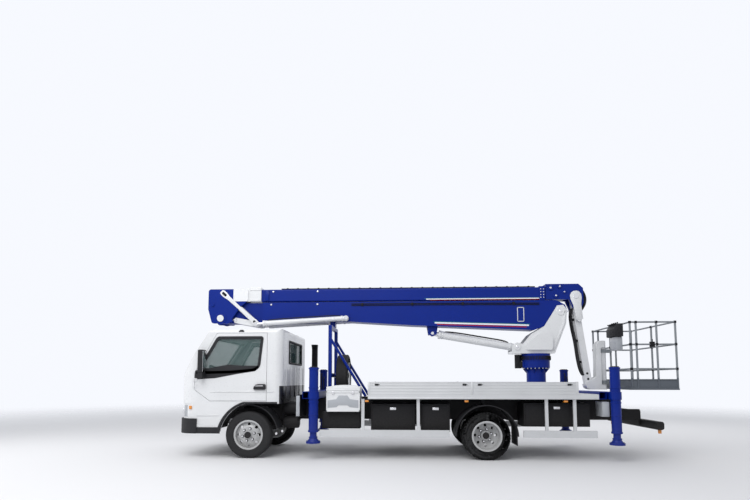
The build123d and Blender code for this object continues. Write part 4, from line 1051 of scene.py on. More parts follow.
@dataclass
class CabTrim:
    """What is fitted to the cab's panels: seals, wipers, handles, lamps, grille and ribs."""

    skin_y: float = 1.0
    window: tuple[Place, ...] = (
        (-0.893, 1.362), (-0.535, 1.985), (0.244, 1.985), (0.19, 1.482), (0.103, 1.408), (-0.3, 1.374))
    garnish: tuple[Place, ...] = (
        (-0.893, 1.42), (-0.905, 1.3), (-0.85, 1.278), (-0.56, 1.296), (-0.15, 1.372), (0.108, 1.412),
        (0.168, 1.47), (0.16, 1.5), (-0.1, 1.5), (-0.33, 1.516), (-0.42, 1.505), (-0.6, 1.47), (-0.84, 1.44))
    handle_cup: tuple[Place, ...] = (
        (0.09, 1.122), (0.098, 1.16), (0.125, 1.19), (0.175, 1.2), (0.28, 1.2), (0.29, 1.185), (0.29, 1.12),
        (0.278, 1.108), (0.105, 1.108))
    seal_width: float = 0.046
    screen_foot: Place = (-1.18, 1.29)
    screen_head: Place = (-0.69, 2.05)
    screen_side: float = 0.824
    rear_window: tuple[float, float, float] = (0.526, 1.556, 1.934)

    def on_screen(self, height: float, proud: float = 0.0) -> float:
        """Where the windscreen's face is at a height.

        Args:
            height: The height.
            proud: Distance in front of the face.

        Returns:
            The X of that place.
        """
        (foot_x, foot_z), (head_x, head_z) = self.screen_foot, self.screen_head
        return foot_x + (height - foot_z) / (head_z - foot_z) * (head_x - foot_x) - proud

    def seal(self, bench: Bench, one: float, other: float) -> None:
        """Add the rubber seal round a door's window.

        Args:
            bench: The piece that it belongs to.
            one: The Y of one of its faces.
            other: The Y of the opposite face.
        """
        bench.clear()
        low, high = sorted((one, other))
        bpy.ops.mesh.primitive_circle_add(vertices=len(self.window), radius=1, fill_type="NGON")
        for vertex, (x, z) in zip(bpy.context.object.data.vertices, self.window):
            vertex.co = (at(x), low, z)
        bpy.ops.object.mode_set(mode="EDIT")
        bpy.ops.mesh.select_all(action="SELECT")
        bpy.ops.mesh.bevel(offset=0.045, segments=4, affect="VERTICES")
        bpy.ops.mesh.select_mode(type="FACE")
        bpy.ops.mesh.select_all(action="SELECT")
        bpy.ops.mesh.inset(thickness=self.seal_width)
        bpy.ops.mesh.delete(type="FACE")
        bpy.ops.mesh.select_all(action="SELECT")
        bench.thicken(high - low)
        bench.keep()

    def doors(self) -> None:
        """Trim both doors: window seal, garnish, handle, the crease below it and the mirror's glass."""
        skin = self.skin_y
        for side, sign in SIDES:
            door = f"door_{side}"
            trim = Bench(f"door_trim_{side}", "black", door)
            inner, outer = sign * (skin - 0.016), sign * (skin + 0.006)
            self.seal(trim, inner, outer)
            trim.outline(self.garnish, inner, outer, 0.003)
            trim.outline(self.handle_cup, sign * (skin - 0.002), sign * (skin + 0.04), 0.01)
            grip, reach = Bench(f"door_grip_{side}", "chrome", door), sign * (skin + 0.0395)
            grip.bar((0.11, reach, 1.17), (0.25, reach, 1.17), 0.006, 12, 0.002)
            inner, outer = sign * (skin - 0.004), sign * (skin + 0.009)
            crease = Bench(f"door_crease_{side}", "white", door)
            crease.block((-0.64, inner, 1.066), (0.294, outer, 1.088), 0.0075)
            belt = Bench(f"cab_crease_{side}", "white")
            belt.block((0.306, inner, 1.066), (0.425, outer, 1.088), 0.0075)
            belt.block((-0.85, inner, 0.684), (-0.47, outer, 0.698), 0.005)
            mirror = Bench(f"mirror_glass_{side}", "chrome", door)
            mirror.block((-0.711, sign * 1.012, 1.4), (-0.706, sign * 1.158, 1.74), 0.002)

    def windscreen(self) -> None:
        """Add the windscreen's black border and its two wipers."""
        border = Bench("windscreen_border", "black")
        for height, thick in ((1.372, 0.03), (1.972, 0.026)):
            x = self.on_screen(height)
            border.block((x - 0.006, -0.828, height - thick / 2), (x + 0.012, 0.828, height + thick / 2),
                         0.003, 33.0)
        for y in (-self.screen_side, self.screen_side):
            border.bar((self.on_screen(1.372), y, 1.372), (self.on_screen(1.98), y, 1.98), 0.012, 10)
        wipers = Bench("wipers", "black")
        along = Vector((self.on_screen(1.5) - self.on_screen(1.44), 0.3, 0.06))
        for foot, tip in ((-0.5, 0.02), (0.12, 0.62)):
            base = (self.on_screen(1.335, 0.008), foot, 1.335)
            end = Vector((self.on_screen(1.47, 0.02), tip, 1.47))
            wipers.bar(base, end, 0.007, 10, tip=0.004)
            wipers.bar((base[0] + 0.02, foot, 1.32), (base[0] - 0.012, foot, 1.33), 0.016, 16, 0.003)
            wipers.bar(end - along, end + along, 0.006, 8)

    def front(self) -> None:
        """Add the grille's bars, the front panel's gaps, the indicators and the lamps' rims."""
        grille = Bench("grille_backing", "black")
        grille.block((-1.146, -0.47, 0.68), (-1.132, 0.47, 0.842), 0.004)
        for row in range(4):
            z = 0.7 + 0.04 * row
            grille.block((-1.17, -0.446, z - 0.0075), (-1.142, 0.446, z + 0.0075), 0.003)
        gaps = Bench("front_panel_gaps", "black")
        gaps.peg((-1.186, 0.912), -0.62, 0.62, 0.005, 8)
        for y in (-0.62, 0.62):
            gaps.bar((-1.186, y, 0.912), (-1.182, y, 1.25), 0.005, 8)
        for side, sign in SIDES:
            indicator = Bench(f"indicator_{side}", "amber")
            indicator.block((-0.98, sign * 0.985, 0.79), (-0.935, sign * 1.002, 0.845), 0.006)
            rims = Bench(f"lamp_rims_{side}", "chrome")
            for radius in (0.06, 0.034):
                inside = radius - 0.007
                rims.turned([(radius, -0.003), (radius, 0.02), (inside, 0.02), (inside, -0.001)],
                            (-1.172, sign * 0.715, 0.76), Axis.X, 36)

    def roof(self) -> None:
        """Add the low black fittings on the roof, the rear window's seal and the rear wall's ribs."""
        fitting = Bench("roof_fitting", "black")
        fitting.blocks((-0.185, 0.93, 2.036), (-0.085, 0.998, 2.078), 0.01)
        for low, high in ((-0.998, -0.942), (0.93, 0.986)):
            fitting.block((-0.165, low, 2.06), (-0.105, high, 2.094), 0.008)
        seal = Bench("rear_window_seal", "black")
        half, low, high = self.rear_window
        for z in (low, high):
            seal.bar((0.556, -half, z), (0.556, half, z), 0.02, 12, 0.004)
        for y in (-half, half):
            seal.bar((0.556, y, low), (0.556, y, high), 0.02, 12, 0.004)
        ribs = Bench("cab_rear_ribs", "shell_white")
        for y in (-0.72, -0.36, 0.0, 0.36, 0.72):
            ribs.block((0.554, y - 0.02, 0.96), (0.568, y + 0.02, 1.5), 0.005)

    def build(self) -> None:
        """Fit everything to the cab."""
        self.doors()
        self.windscreen()
        self.front()
        self.roof()


@dataclass
class DeckTrim:
    """The deck's board ribs and posts, latches, floor treads and marker lamps."""

    front: float = 1.96
    rear: float = 5.59
    board_rear: float = 5.28
    half_width: float = 1.03
    floor: float = 1.04
    # The floor's treads stop at the pedestal's plate
    plate_front: float = 4.49
    plate_rear: float = 5.31
    plate_half: float = 0.42

    def build(self) -> None:
        """Fit everything to the deck."""
        half = self.half_width
        ribs = Bench("board_ribs", "deck")
        for z in (1.046, 1.095, 1.14, 1.185, 1.226):
            ribs.blocks((self.front + 0.004, half - 0.002, z - 0.006),
                        (self.board_rear - 0.004, half + 0.004, z + 0.006), 0.002)
        ribs.blocks((self.front, half - 0.004, 0.962), (self.rear, half + 0.006, 0.99), 0.004)
        posts = Bench("board_posts", "deck")
        for x in (1.975, 3.62, 5.262):
            posts.blocks((x - 0.018, half - 0.034, 1.036), (x + 0.018, half + 0.007, 1.24), 0.004)
        latches = Bench("board_latches", "black")
        for x in (2.1, 3.5, 3.74, 5.14):
            latches.blocks((x - 0.03, half + 0.002, 1.176), (x + 0.03, half + 0.012, 1.206), 0.004)
            for sign in BOTH:
                y = sign * (half + 0.012)
                latches.bar((x - 0.02, y, 1.191), (x + 0.05, y, 1.191), 0.005, 10, 0.002)
        tread = Bench("deck_tread", "deck")
        for number in range(22):
            y = -0.966 + number * 0.092
            cuts = (self.plate_front, self.plate_rear) if abs(y) < self.plate_half else ()
            ends = (self.front + 0.05, *cuts, self.rear - 0.01)
            for start, end in zip(ends[::2], ends[1::2]):
                tread.block((start, y - 0.006, self.floor - 0.002), (end, y + 0.006, self.floor + 0.003),
                            0.001)
        lamps = Bench("marker_lamps", "amber")
        brackets = Bench("marker_lamp_brackets", "black")
        for x in (1.943, 3.53, 5.08):
            lamps.blocks((x - 0.03, half - 0.05, 0.914), (x + 0.03, half + 0.006, 0.944), 0.006)
            brackets.blocks((x - 0.036, half - 0.05, 0.94), (x + 0.036, half - 0.004, 0.962), 0.003)


@dataclass
class Underside:
    """Locker doors with their latches, rear lamps and mudflaps."""

    # Each locker's first and last X, the Y of its door, and its lowest and highest Z
    lockers: tuple[tuple[float, float, float, float, float], ...] = (
        (2.0, 2.72, -0.86, 0.43, 0.88), (2.82, 3.28, -0.86, 0.43, 0.88), (4.46, 5.5, -0.86, 0.52, 0.9),
        (2.0, 2.9, 0.86, 0.43, 0.88), (4.46, 5.5, 0.86, 0.52, 0.9), (1.3, 1.83, 1.0, 0.62, 0.94))

    def build(self) -> None:
        """Fit everything under the deck."""
        doors = Bench("locker_doors", "frame")
        latches = Bench("locker_latches", "chrome")
        for x_low, x_high, face, z_low, z_high in self.lockers:
            sign = math.copysign(1.0, face)
            doors.block((x_low + 0.025, face - sign * 0.004, z_low + 0.03),
                        (x_high - 0.025, face + sign * 0.01, z_high - 0.03), 0.006)
            x, y, z = (x_low + x_high) / 2, face + sign * 0.022, z_high - 0.08
            latches.block((x - 0.05, face + sign * 0.008, z - 0.02), (x + 0.05, face + sign * 0.02, z + 0.02),
                          0.005)
            latches.bar((x - 0.02, y, z), (x + 0.04, y, z), 0.006, 10, 0.002)
        for side, sign in SIDES:
            shell = Bench(f"rear_lamp_shell_{side}", "black")
            shell.block((6.545, sign * 0.6, 0.5), (6.598, sign * 0.93, 0.6), 0.008)
            red = Bench(f"rear_lamp_{side}", "red")
            red.block((6.59, sign * 0.62, 0.512), (6.606, sign * 0.76, 0.588), 0.006)
            amber = Bench(f"rear_indicator_{side}", "amber")
            amber.block((6.59, sign * 0.78, 0.512), (6.606, sign * 0.91, 0.588), 0.006)
            amber.bar((6.56, sign * 0.89, 0.49), (6.56, sign * 0.89, 0.425), 0.026, 16, 0.006)
        Bench("mudflaps", "black").blocks((4.318, 0.56, 0.23), (4.326, 1.0, 0.56), 0.003)


@dataclass
class SideBoxes:
    """The toolbox's panel and crowned lid, battery box, air tanks, two grey cabinets and the spare's rim."""

    face_y: float = -1.03
    x_low: float = 1.29
    x_high: float = 1.83
    bottom: float = 0.76
    lid_line: float = 1.09
    lid_top: float = 1.16

    def toolbox(self) -> None:
        """Dress the toolbox and its lid."""
        face, low, high, bottom, line = self.face_y, self.x_low, self.x_high, self.bottom, self.lid_line
        half = ((0.2, line - 0.07), (0.16, line - 0.13), (0.022, line - 0.15), (0.022, bottom + 0.06),
                (0.16, bottom + 0.07), (0.2, bottom + 0.1))
        rim = [(low + inset, z) for inset, z in half] + [(high - inset, z) for inset, z in reversed(half)]
        Bench("toolbox_panel", "grey").outline(rim, face - 0.003, face + 0.006, 0.002)
        ribs = Bench("toolbox_ribs", "white")
        for x in (low, high - 0.018):
            ribs.block((x, face - 0.01, bottom), (x + 0.018, face + 0.004, line), 0.004)
        for z in (bottom, line - 0.03):
            ribs.block((low, face - 0.01, z), (high, face + 0.004, z + 0.026), 0.004)
        span, steps = high - low - 0.02, 8
        arc = [(low + 0.01 + span * n / steps, self.lid_top - 0.004 + 0.03 * math.sin(math.pi * n / steps))
               for n in range(steps + 1)]
        Bench("toolbox_lid_crown", "white", "toolbox_lid").outline(arc, face + 0.016, face + 0.39, 0.004)
        lip = Bench("toolbox_lid_lip", "white", "toolbox_lid")
        lip.block((low - 0.004, face - 0.009, line + 0.006), (high + 0.004, face + 0.004, line + 0.03), 0.004)
        catches = Bench("toolbox_catches", "chrome")
        for x in (low + 0.11, high - 0.11):
            catches.block((x - 0.018, face - 0.018, line - 0.055), (x + 0.018, face - 0.002, line - 0.008),
                          0.004)

    def build(self) -> None:
        """Fit everything behind the front jack and the cabinet by the rear one."""
        self.toolbox()
        battery = Bench("battery_box", "frame")
        battery.block((1.2, -0.9, 0.48), (1.83, -0.47, 0.752), 0.012)
        battery.block((1.216, -0.908, 0.5), (1.814, -0.896, 0.73), 0.004)
        for x in (1.3, 1.73):
            battery.peg((x, 0.69), -0.908, -0.922, 0.02, 16, 0.003)
        tanks = Bench("air_tanks", "frame")
        for z in (0.56, 0.79):
            tanks.bar((0.5, -0.56, z), (0.76, -0.56, z), 0.105, 36, 0.02)
        tanks.block((0.57, -0.5, 0.48), (0.69, -0.44, 0.9), 0.006)
        door = Bench("cabinet_door", "grey")
        door.block((0.786, -0.968, 0.68), (0.844, -0.956, 1.012), 0.003)
        door.bar((0.834, -0.972, 0.85), (0.834, -0.972, 0.9), 0.005, 10, 0.002)
        rear = Bench("rear_cabinet", "grey")
        rear.block((5.65, -0.985, 0.69), (5.762, -0.7, 0.922), 0.008)
        rear.block((5.664, -0.991, 0.712), (5.748, -0.982, 0.9), 0.003)
        Bench("spare_rim", "wheel").turned(
            [(0.02, 0.074), (0.07, 0.074), (0.12, 0.082), (0.15, 0.092), (0.205, 0.066), (0.224, 0.08),
             (0.236, 0.098), (0.228, 0.1), (0.212, 0.084), (0.2, 0.072), (0.15, 0.098), (0.12, 0.088),
             (0.07, 0.08), (0.02, 0.08)], Tyres.spare, Axis.X, 48)


@dataclass
class OutriggerTrim:
    """Collars, bolts and hose ends of the four jacks."""

    jacks: tuple[tuple[str, float, int], ...] = (
        ("front_left", 1.077, -1), ("front_right", 0.927, 1),
        ("rear_left", 5.855, -1), ("rear_right", 5.705, 1))
    jack_y: float = 1.0
    # Each collar's lowest and highest Z, and its radius
    collars: tuple[tuple[float, float, float], ...] = (
        (1.44, 1.466, 0.084), (1.13, 1.15, 0.082), (0.9, 0.92, 0.082), (0.7, 0.716, 0.08),
        (0.432, 0.462, 0.084))

    def build(self) -> None:
        """Dress every jack."""
        for name, x, sign in self.jacks:
            y, arm = sign * self.jack_y, f"outrigger_{name}"
            collar = Bench(f"jack_collar_{name}", "blue", arm)
            for low, high, radius in self.collars:
                collar.turned([(0.06, low), (0.06, high), (radius - 0.003, high), (radius, high - 0.003),
                               (radius, low + 0.003), (radius - 0.003, low)], (x, y, 0.0))
            middle = y - sign * 0.02
            collar.block((x - 0.018, middle - 0.05, 0.93), (x + 0.018, middle + 0.05, 1.12), 0.004)
            cap = Bench(f"jack_cap_{name}", "frame", arm)
            cap.turned([(0.0, 1.462), (0.072, 1.462), (0.072, 1.47), (0.05, 1.482), (0.0, 1.484)],
                       (x, y, 0.0))
            for place in about((x, y, 1.47), Axis.Z, 0.06, 4, 45.0):
                cap.nut(place, (0, 0, 1), 0.016, 0.009)
            hoses = Bench(f"jack_hoses_{name}", "rubber", arm)
            wall = y - sign * 0.072
            for shift, top in ((-0.022, 1.4), (0.022, 1.33)):
                route = ((0.0, top), (0.05, top), (0.06, top - 0.08), (0.04, 1.18), (0.07, 1.065))
                hoses.hose([(x + shift, wall - sign * out, z) for out, z in route], 0.009)
            foot = Bench(f"jack_foot_{name}", "blue", f"jack_leg_{name}")
            foot.turned([(0.056, 0.33), (0.07, 0.342), (0.07, 0.356), (0.056, 0.366)], (x, y, 0.0))
            for place in about((x, y, 0.288), Axis.Z, 0.1, 6):
                foot.nut(place, (0, 0, 1), 0.018, 0.008)


@dataclass
class Column:
    """The pedestal's bolts, the slewing ring's teeth, and the turret's pins and hoses."""

    centre_x: float = 4.9
    bolt_z: float = 1.481
    pivot: Place = (5.311, 2.482)
    lift_foot: Place = (4.54, 1.85)
    outer_y: float = 0.185
    stiffener: tuple[Place, ...] = (
        (5.18, 1.79), (5.375, 2.27), (5.395, 2.48), (5.37, 2.48), (5.35, 2.275), (5.16, 1.79))

    def build(self) -> None:
        """Dress the pedestal and the turret."""
        middle = (self.centre_x, 0.0, 0.0)
        bolts = Bench("pedestal_bolts", "chrome")
        for x, y, _ in about(middle, Axis.Z, 0.215, 20):
            bolts.nut((x, y, self.bolt_z), (0, 0, -1), 0.024, 0.014)
        teeth = Bench("slewing_ring_teeth", "frame")
        for x, y, _ in about(middle, Axis.Z, 0.252, 60):
            teeth.bar((x, y, 1.622), (x, y, 1.69), 0.0085, 6)
        bolts = Bench("turret_bolts", "chrome", "turret")
        for x, y, _ in about(middle, Axis.Z, 0.228, 24):
            if abs(y) < 0.15:
                bolts.nut((x, y, 1.772), (0, 0, 1), 0.022, 0.012)
        bosses = Bench("turret_pin_bosses", "white", "turret")
        caps = Bench("turret_pin_caps", "chrome", "turret")
        stiff = Bench("turret_stiffeners", "white", "turret")
        for sign in BOTH:
            y = sign * self.outer_y
            for (x, z), radius in ((self.pivot, 0.078), (self.lift_foot, 0.062)):
                bosses.turned([(0.026, 0.0), (radius, 0.0), (radius, sign * 0.01),
                               (radius - 0.004, sign * 0.014), (0.026, sign * 0.014)], (x, y, z), Axis.Y)
                caps.turned([(0.0, sign * 0.004), (0.0, sign * 0.018), (0.02, sign * 0.018),
                             (0.026, sign * 0.014), (0.026, sign * 0.004)], (x, y, z), Axis.Y, 24)
            stiff.outline(self.stiffener, y - sign * 0.004, y + sign * 0.014, 0.002)
        hoses = Bench("turret_hoses", "rubber", "turret")
        for y in (-0.1, -0.05, 0.0, 0.05, 0.1):
            hoses.hose([(5.02, y, 1.775), (5.13, y, 1.83), (5.22, y, 2.0), (5.3, y * 0.9, 2.2),
                        (5.375, y * 0.8, 2.34)], 0.013)
        clamps = Bench("turret_hose_clamps", "frame", "turret")
        clamps.block((5.19, -0.135, 2.01), (5.26, 0.135, 2.03), 0.003, -60.0)


@dataclass
class BoomTrim:
    """Pin caps, gland rings, wear pads, hoses and guards of the booms, links and cylinders."""

    knuckle: Place = (-0.796, 2.39)
    rocker: Place = (-0.54, 2.36)
    link_low: Place = (-0.117, 2.28)
    link_top: Place = (-0.763, 2.862)
    fold_base: Place = (1.513, 2.37)
    lift_base: Place = (4.54, 1.85)
    lift_eye: Place = (3.062, 2.109)
    jib_top: Place = (5.591, 2.748)
    jib_low: Place = (5.801, 1.186)
    # Y of the link's face, of both faces of its outer cheek, and of the fold cylinders' middle
    link_face: float = 0.143
    outer_faces: Place = (0.174, 0.186)
    fold_y: float = 0.224
    upper_top: float = 2.925
    upper_bottom: float = 2.695
    cheek: tuple[Place, ...] = (
        (-0.098, 0.03), (-0.075, 0.07), (-0.03, 0.098), (0.04, 0.098), (0.15, 0.07), (0.42, 0.06))

    def knuckle_trim(self) -> None:
        """Dress the fold: pale pin discs, smaller bosses, and the ribs and pad of the boom's foot."""
        Bench("knuckle_discs", "white", "upper_boom").bosses([self.knuckle], 0.19, 0.062, 0.006)
        bosses = Bench("knuckle_bosses", "blue", "upper_boom")
        for place, radius, height in ((self.knuckle, 0.108, 0.01), ((-0.955, 2.64), 0.036, 0.014),
                                      ((-0.6, 2.345), 0.03, 0.012)):
            bosses.bosses([place], 0.17, radius, height)
        ribs = Bench("boom_foot_ribs", "white", "upper_boom")
        for low, high in ((2.712, 2.73), (2.905, 2.922)):
            ribs.blocks((-0.265, 0.148, low), (-0.068, 0.16, high), 0.003)
        ribs.block((-0.27, -0.14, 2.925), (-0.064, 0.14, 2.962), 0.006)

    def links(self) -> None:
        """Dress the links with eye rings, pins, ribs and pale outer cheeks, whose slots at their eyes are
        black plates of painted shade.
        """
        line = Line(self.link_low, self.link_top)
        eyes = (self.link_low, self.link_top)
        Bench("link_eye_rings", "white", "links").bosses(eyes, self.link_face, 0.044, 0.006)
        Bench("link_pins", "chrome", "links").bosses(eyes, self.link_face, 0.022, 0.018)
        ribs = Bench("link_ribs", "white", "links")
        plates = Bench("outer_links", "white", "links")
        slot_shade = Bench("outer_link_slot_shade", "frame", "links")
        length = line.length
        half = ((-0.04, 0.022), (-0.03, 0.04), (0.0, 0.05), (0.06, 0.052), (0.16, 0.034), (length / 2, 0.029),
                (length - 0.16, 0.034), (length - 0.06, 0.052), (length, 0.05), (length + 0.03, 0.04),
                (length + 0.04, 0.022))
        slot = ((-0.05, 0.012), (-0.038, 0.024), (0.038, 0.024), (0.05, 0.012))
        for sign in BOTH:
            face = sign * self.link_face
            inner, outer = (sign * y for y in self.outer_faces)
            for off in (-0.025985, 0.025985):
                ribs.bar(line.point(length * 0.12, off, face), line.point(length * 0.88, off, face), 0.006, 8)
            plates.outline(line.rim(half), inner, outer, 0.003)
            # Each slot is a thin black plate laid on the cheek: painted shade where a cut slot would show
            # dark.
            for middle in (0.04, length - 0.04):
                rim = line.rim([(middle + along, off) for along, off in slot])
                slot_shade.outline(rim, sign * 0.183, sign * 0.1875, 0.001)
        Bench("rocker_pins", "chrome", "rockers").bosses([self.rocker], 0.12, 0.034, 0.01)

    def cylinders(self) -> None:
        """Add gland rings and pipes to the lift cylinder and the fold cylinders."""
        line = Line(self.lift_base, self.lift_eye)
        end = line.length - 0.124
        rings = Bench("lift_cylinder_rings", "white", "lift_barrel")
        for along, radius, width in ((end - 0.01, 0.078, 0.024), (end - 0.06, 0.074, 0.014),
                                     (0.09, 0.076, 0.02), (end * 0.5, 0.072, 0.012)):
            rings.bar(line.point(along - width), line.point(along + width), radius, 36, 0.004)
        pipes = Bench("lift_cylinder_pipes", "rubber", "lift_barrel")
        route = ((0.14, 0.062), (0.18, 0.088), (0.5, 0.088), (end - 0.14, 0.088), (end - 0.09, 0.06))
        for y in (-0.026, 0.026):
            pipes.hose([line.point(along, -up, y) for along, up in route], 0.01)
        line = Line(self.fold_base, self.link_low)
        end = line.length - 0.13
        rings = Bench("fold_cylinder_rings", "white", "fold_barrels")
        pipes = Bench("fold_cylinder_pipes", "rubber", "fold_barrels")
        route = ((0.1, 0.75), (0.14, 1.15), (0.6, 1.15), (end - 0.12, 1.15), (end - 0.08, 0.8))
        for sign in BOTH:
            y = sign * self.fold_y
            for along, radius, width in ((end - 0.012, 0.053, 0.018), (end - 0.05, 0.05, 0.01),
                                         (0.075, 0.052, 0.016), (end * 0.52, 0.049, 0.01)):
                rings.bar(line.point(along - width, 0, y), line.point(along + width, 0, y), radius, 32, 0.003)
            out = Vector((0, sign * 0.012, 0.056))
            pipes.hose([Vector(line.point(along, 0, y)) + out * share for along, share in route], 0.008)

    def lower(self) -> None:
        """Dress the lower boom: pin bosses, pin heads, pipe run and a bare framed plate."""
        bosses = Bench("lower_boom_bosses", "blue", "lower_boom")
        heads = Bench("lower_boom_pin_heads", "chrome", "lower_boom")
        bosses.bosses([(self.fold_base[0], self.fold_base[1] + 0.03)], 0.15, 0.06, 0.024)
        heads.bosses([self.fold_base], 0.268, 0.034, 0.01)
        bosses.bosses([self.lift_eye], 0.072, 0.052, 0.008)
        heads.bosses([self.lift_eye], 0.078, 0.03, 0.012)
        heads.bosses([(0.13, 2.64), (0.98, 2.64)], 0.15, 0.018, 0.012)
        frame = Bench("boom_plate_frame", "white", "lower_boom")
        for x_low, x_high, z_low, z_high in ((4.56, 4.572, 2.3, 2.56), (4.668, 4.68, 2.3, 2.56),
                                             (4.56, 4.68, 2.548, 2.56), (4.56, 4.68, 2.3, 2.312)):
            frame.block((x_low, -0.156, z_low), (x_high, -0.149, z_high), 0.001)
        run = Bench("lower_boom_pipes", "frame", "lower_boom")
        for y in (-0.158, 0.158):
            for z in (2.64, 2.614):
                run.hose([(1.6, y, z), (2.6, y, z), (3.6, y, z), (4.95, y, z - 0.01)], 0.007)
        for x in (1.8, 2.7, 3.6, 4.5):
            run.blocks((x - 0.02, 0.149, 2.6), (x + 0.02, 0.172, 2.655), 0.003)

    def upper(self) -> None:
        """Dress the telescopic boom: end collar, pad bolts and cable tray."""
        top, bottom = self.upper_top, self.upper_bottom
        collar = Bench("upper_boom_collar", "blue", "upper_boom")
        for low, high in ((bottom - 0.012, bottom + 0.004), (top - 0.004, top + 0.014)):
            collar.block((4.96, -0.136, low), (5.062, 0.136, high), 0.003)
        collar.blocks((4.96, 0.123, bottom - 0.008), (5.062, 0.139, top + 0.01), 0.004)
        collar.blocks((0.01, 0.123, bottom + 0.02), (0.08, 0.139, top - 0.01), 0.004)
        bolts = Bench("wear_pad_bolts", "chrome", "upper_boom")
        for sign in BOTH:
            for x in (4.985, 5.035):
                for z in (2.735, 2.785, 2.835, 2.885):
                    bolts.nut((x, sign * 0.138, z), (0, sign, 0), 0.02, 0.008)
            for x in (0.16, 0.98):
                bolts.nut((x, sign * 0.125, 2.88), (0, sign, 0), 0.034, 0.012)
        tray = Bench("cable_tray", "frame", "upper_boom")
        tray.block((0.3, -0.09, top - 0.002), (4.9, -0.02, top + 0.022), 0.003)
        for number in range(24):
            x = 0.4 + number * 0.19
            tray.block((x, -0.096, top - 0.001), (x + 0.03, -0.014, top + 0.028), 0.002)

    def head(self) -> None:
        """Dress the boom head: pin discs and the black hose guard, which is left fixed in the frame and does
        not bend with the jib.
        """
        discs = Bench("boom_head_discs", "blue", "inner_boom")
        pins = Bench("boom_head_pins", "chrome", "inner_boom")
        for place, radius, height in (((5.16, 2.905), 0.05, 0.018), ((5.32, 2.93), 0.04, 0.02),
                                      ((5.25, 2.765), 0.046, 0.018), ((5.4, 2.83), 0.036, 0.014)):
            discs.bosses([place], 0.128, radius, height)
            pins.bosses([place], 0.128 + height, radius * 0.36, 0.01)
        guard = Bench("hose_guard", "black", "inner_boom",
                      bend=("jib", (at(5.6), 0.0, 2.9), (at(5.69), 0.0, 2.5)))
        for y in (-0.075, -0.025, 0.025, 0.075):
            guard.hose([(5.56, y, 2.93), (5.66, y, 2.925), (5.745, y, 2.86), (5.79, y, 2.74), (5.78, y, 2.62),
                        (5.72, y, 2.52), (5.68, y, 2.47)], 0.016)
        for place in ((5.735, 2.86), (5.778, 2.64)):
            guard.peg(place, -0.092, 0.092, 0.014, 12, 0.003)

    def jib(self) -> None:
        """Dress the jib: hose bundle, clamps, forked top, edge ribs, eye rings, and black discs of painted
        shade where its holes are.
        """
        line = Line(self.jib_top, self.jib_low)
        length = line.length
        route = ((0.2, 0.05), (0.26, 0.1), (0.5, 0.115), (0.8, 0.095), (1.1, 0.105), (length - 0.24, 0.09),
                 (length - 0.18, 0.055))
        hoses = Bench("jib_hoses", "rubber", "jib")
        for y in (-0.048, -0.016, 0.016, 0.048):
            hoses.hose([line.point(along, -front, y) for along, front in route], 0.015)
        clamps = Bench("jib_clamps", "frame", "jib")
        for along in (0.4, 0.78, 1.16):
            clamps.bar(line.point(along, -0.085, -0.07), line.point(along, -0.085, 0.07), 0.022, 12, 0.004)
            clamps.bar(line.point(along, -0.045), line.point(along, -0.085), 0.014, 10)
        fork = Bench("jib_fork", "white", "jib")
        Bench("jib_fork_pins", "chrome", "jib").bosses([self.jib_top], 0.156, 0.046, 0.008)
        rings = Bench("jib_eye_rings", "white", "jib")
        rings.bosses([self.jib_low], 0.06, 0.05, 0.004)
        # Black discs on the jib's sides: painted shade of its holes, which are not cut.
        hole_shade = Bench("jib_hole_shade", "frame", "jib")
        for sign in BOTH:
            fork.outline(line.rim(self.cheek), sign * 0.146, sign * 0.156, 0.003)
            for along in (length - 0.2, length - 0.1):
                hole_shade.bar(line.point(along, 0, sign * 0.052), line.point(along, 0, sign * 0.0615), 0.02, 20)
            for off in (-0.048, 0.048):
                rings.bar(line.point(0.16, off, sign * 0.06), line.point(length - 0.16, off, sign * 0.06),
                          0.005, 8)
        for along in (0.34, 0.415):
            fork.bar(line.point(along, 0, -0.15), line.point(along, 0, 0.15), 0.04, 24, 0.004)

    def build(self) -> None:
        """Dress the whole boom assembly."""
        self.knuckle_trim()
        self.links()
        self.cylinders()
        self.lower()
        self.upper()
        self.head()
        self.jib()


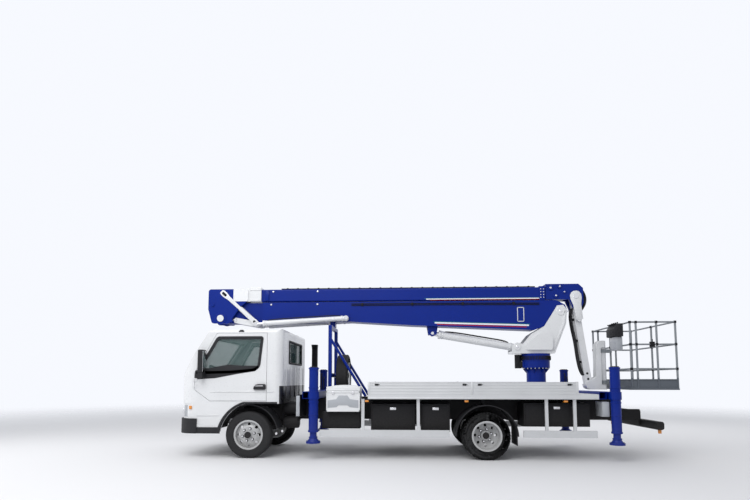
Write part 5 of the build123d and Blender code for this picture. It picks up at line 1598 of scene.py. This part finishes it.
@dataclass
class BasketTrim:
    """The basket's rail clamps, kick plate folds, floor treads, gate latch, console and equipment box."""

    front: float = 6.2
    rear: float = 6.95
    half: float = 0.8
    post_inset: float = 0.016
    floor: float = 1.131
    side_posts: tuple[float, ...] = (6.311, 6.635)
    kick_top: float = 1.281
    rails: tuple[float, ...] = (1.446, 1.843, 2.207)
    console_rear: float = 6.2017

    def build(self) -> None:
        """Dress the basket."""
        front, rear = self.front + self.post_inset, self.rear - self.post_inset
        half = self.half - self.post_inset
        crossings = [(x, y, z) for x in (front, rear) for y in (-half, 0.0, half) for z in self.rails]
        crossings += [(x, y, z) for x in self.side_posts for y in (-half, half) for z in self.rails[1:]]
        clamps = Bench("basket_clamps", "frame", "basket")
        for place in crossings:
            clamps.turned([(0.017, -0.02), (0.022, -0.018), (0.022, 0.018), (0.017, 0.02)], place, steps=20)
        kick = Bench("kick_plate_folds", "basket", "basket")
        for z in (self.kick_top - 0.008, self.floor + 0.004):
            kick.blocks((front, half - 0.004, z - 0.008), (rear, half + 0.014, z + 0.008), 0.003)
            for x, way in ((front, -1), (rear, 1)):
                kick.block((x - way * 0.004, -half, z - 0.008), (x + way * 0.014, half, z + 0.008), 0.003)
        tread = Bench("basket_floor_tread", "deck", "basket")
        for number in range(24):
            y = -0.755 + number * 0.0655
            tread.block((self.front + 0.04, y - 0.005, self.floor - 0.001),
                        (self.rear - 0.04, y + 0.005, self.floor + 0.004), 0.001)
        latch = Bench("basket_gate_latch", "frame", "basket")
        latch.block((6.52, -self.half + 0.001, 1.8), (6.6, -self.half + 0.033, 1.886), 0.006)
        latch.bar((6.56, -self.half + 0.006, 1.886), (6.56, -self.half + 0.006, 1.93), 0.008, 12, 0.003)
        self.console()

    def console(self) -> None:
        """Build the black control console, in place of the plain station, and the pale box below it."""
        rear = self.console_rear
        console = Bench("control_console", "black", "basket", replaces="control_box")
        console.outline([(6.046, 2.0), (6.046, 2.12), (6.075, 2.16), (6.09, 2.2), (rear - 0.004, 2.216),
                         (rear, 2.205), (rear, 1.992), (6.06, 1.992)], -0.578, -0.262, 0.008)
        console.block((6.06, -0.56, 2.198), (6.18, -0.28, 2.214), 0.004)
        levers = Bench("console_levers", "rubber", "basket")
        for number in range(4):
            y = -0.53 + number * 0.073
            levers.bar((6.13, y, 2.205), (6.13, y, 2.228), 0.005, 10)
            levers.turned([(0.0, 2.222), (0.012, 2.223), (0.014, 2.23), (0.01, 2.238), (0.0, 2.239)],
                          (6.13, y, 0.0), steps=16)
        box = Bench("equipment_box", "grey", "basket")
        box.block((6.082, -0.538, 1.762), (rear, -0.302, 1.99), 0.012)
        box.block((6.076, -0.52, 1.79), (6.086, -0.32, 1.96), 0.003)


def main() -> None:
    """Dress the frame, add the fine pieces and set up the picture."""
    logging.basicConfig(level=logging.INFO, format="%(name)s: %(message)s")
    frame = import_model()
    Bench.finishes = Finishes()
    dress_frame(frame, Bench.finishes)
    for assembly in (Tyres, WheelHardware, CabTrim, DeckTrim, Underside, SideBoxes, OutriggerTrim, Column,
                     BoomTrim, BasketTrim):
        LOG.info("building %s", assembly.__name__)
        assembly().build()
        Bench.finish_all()
    Studio().build()


if __name__ == "__main__":
    main()
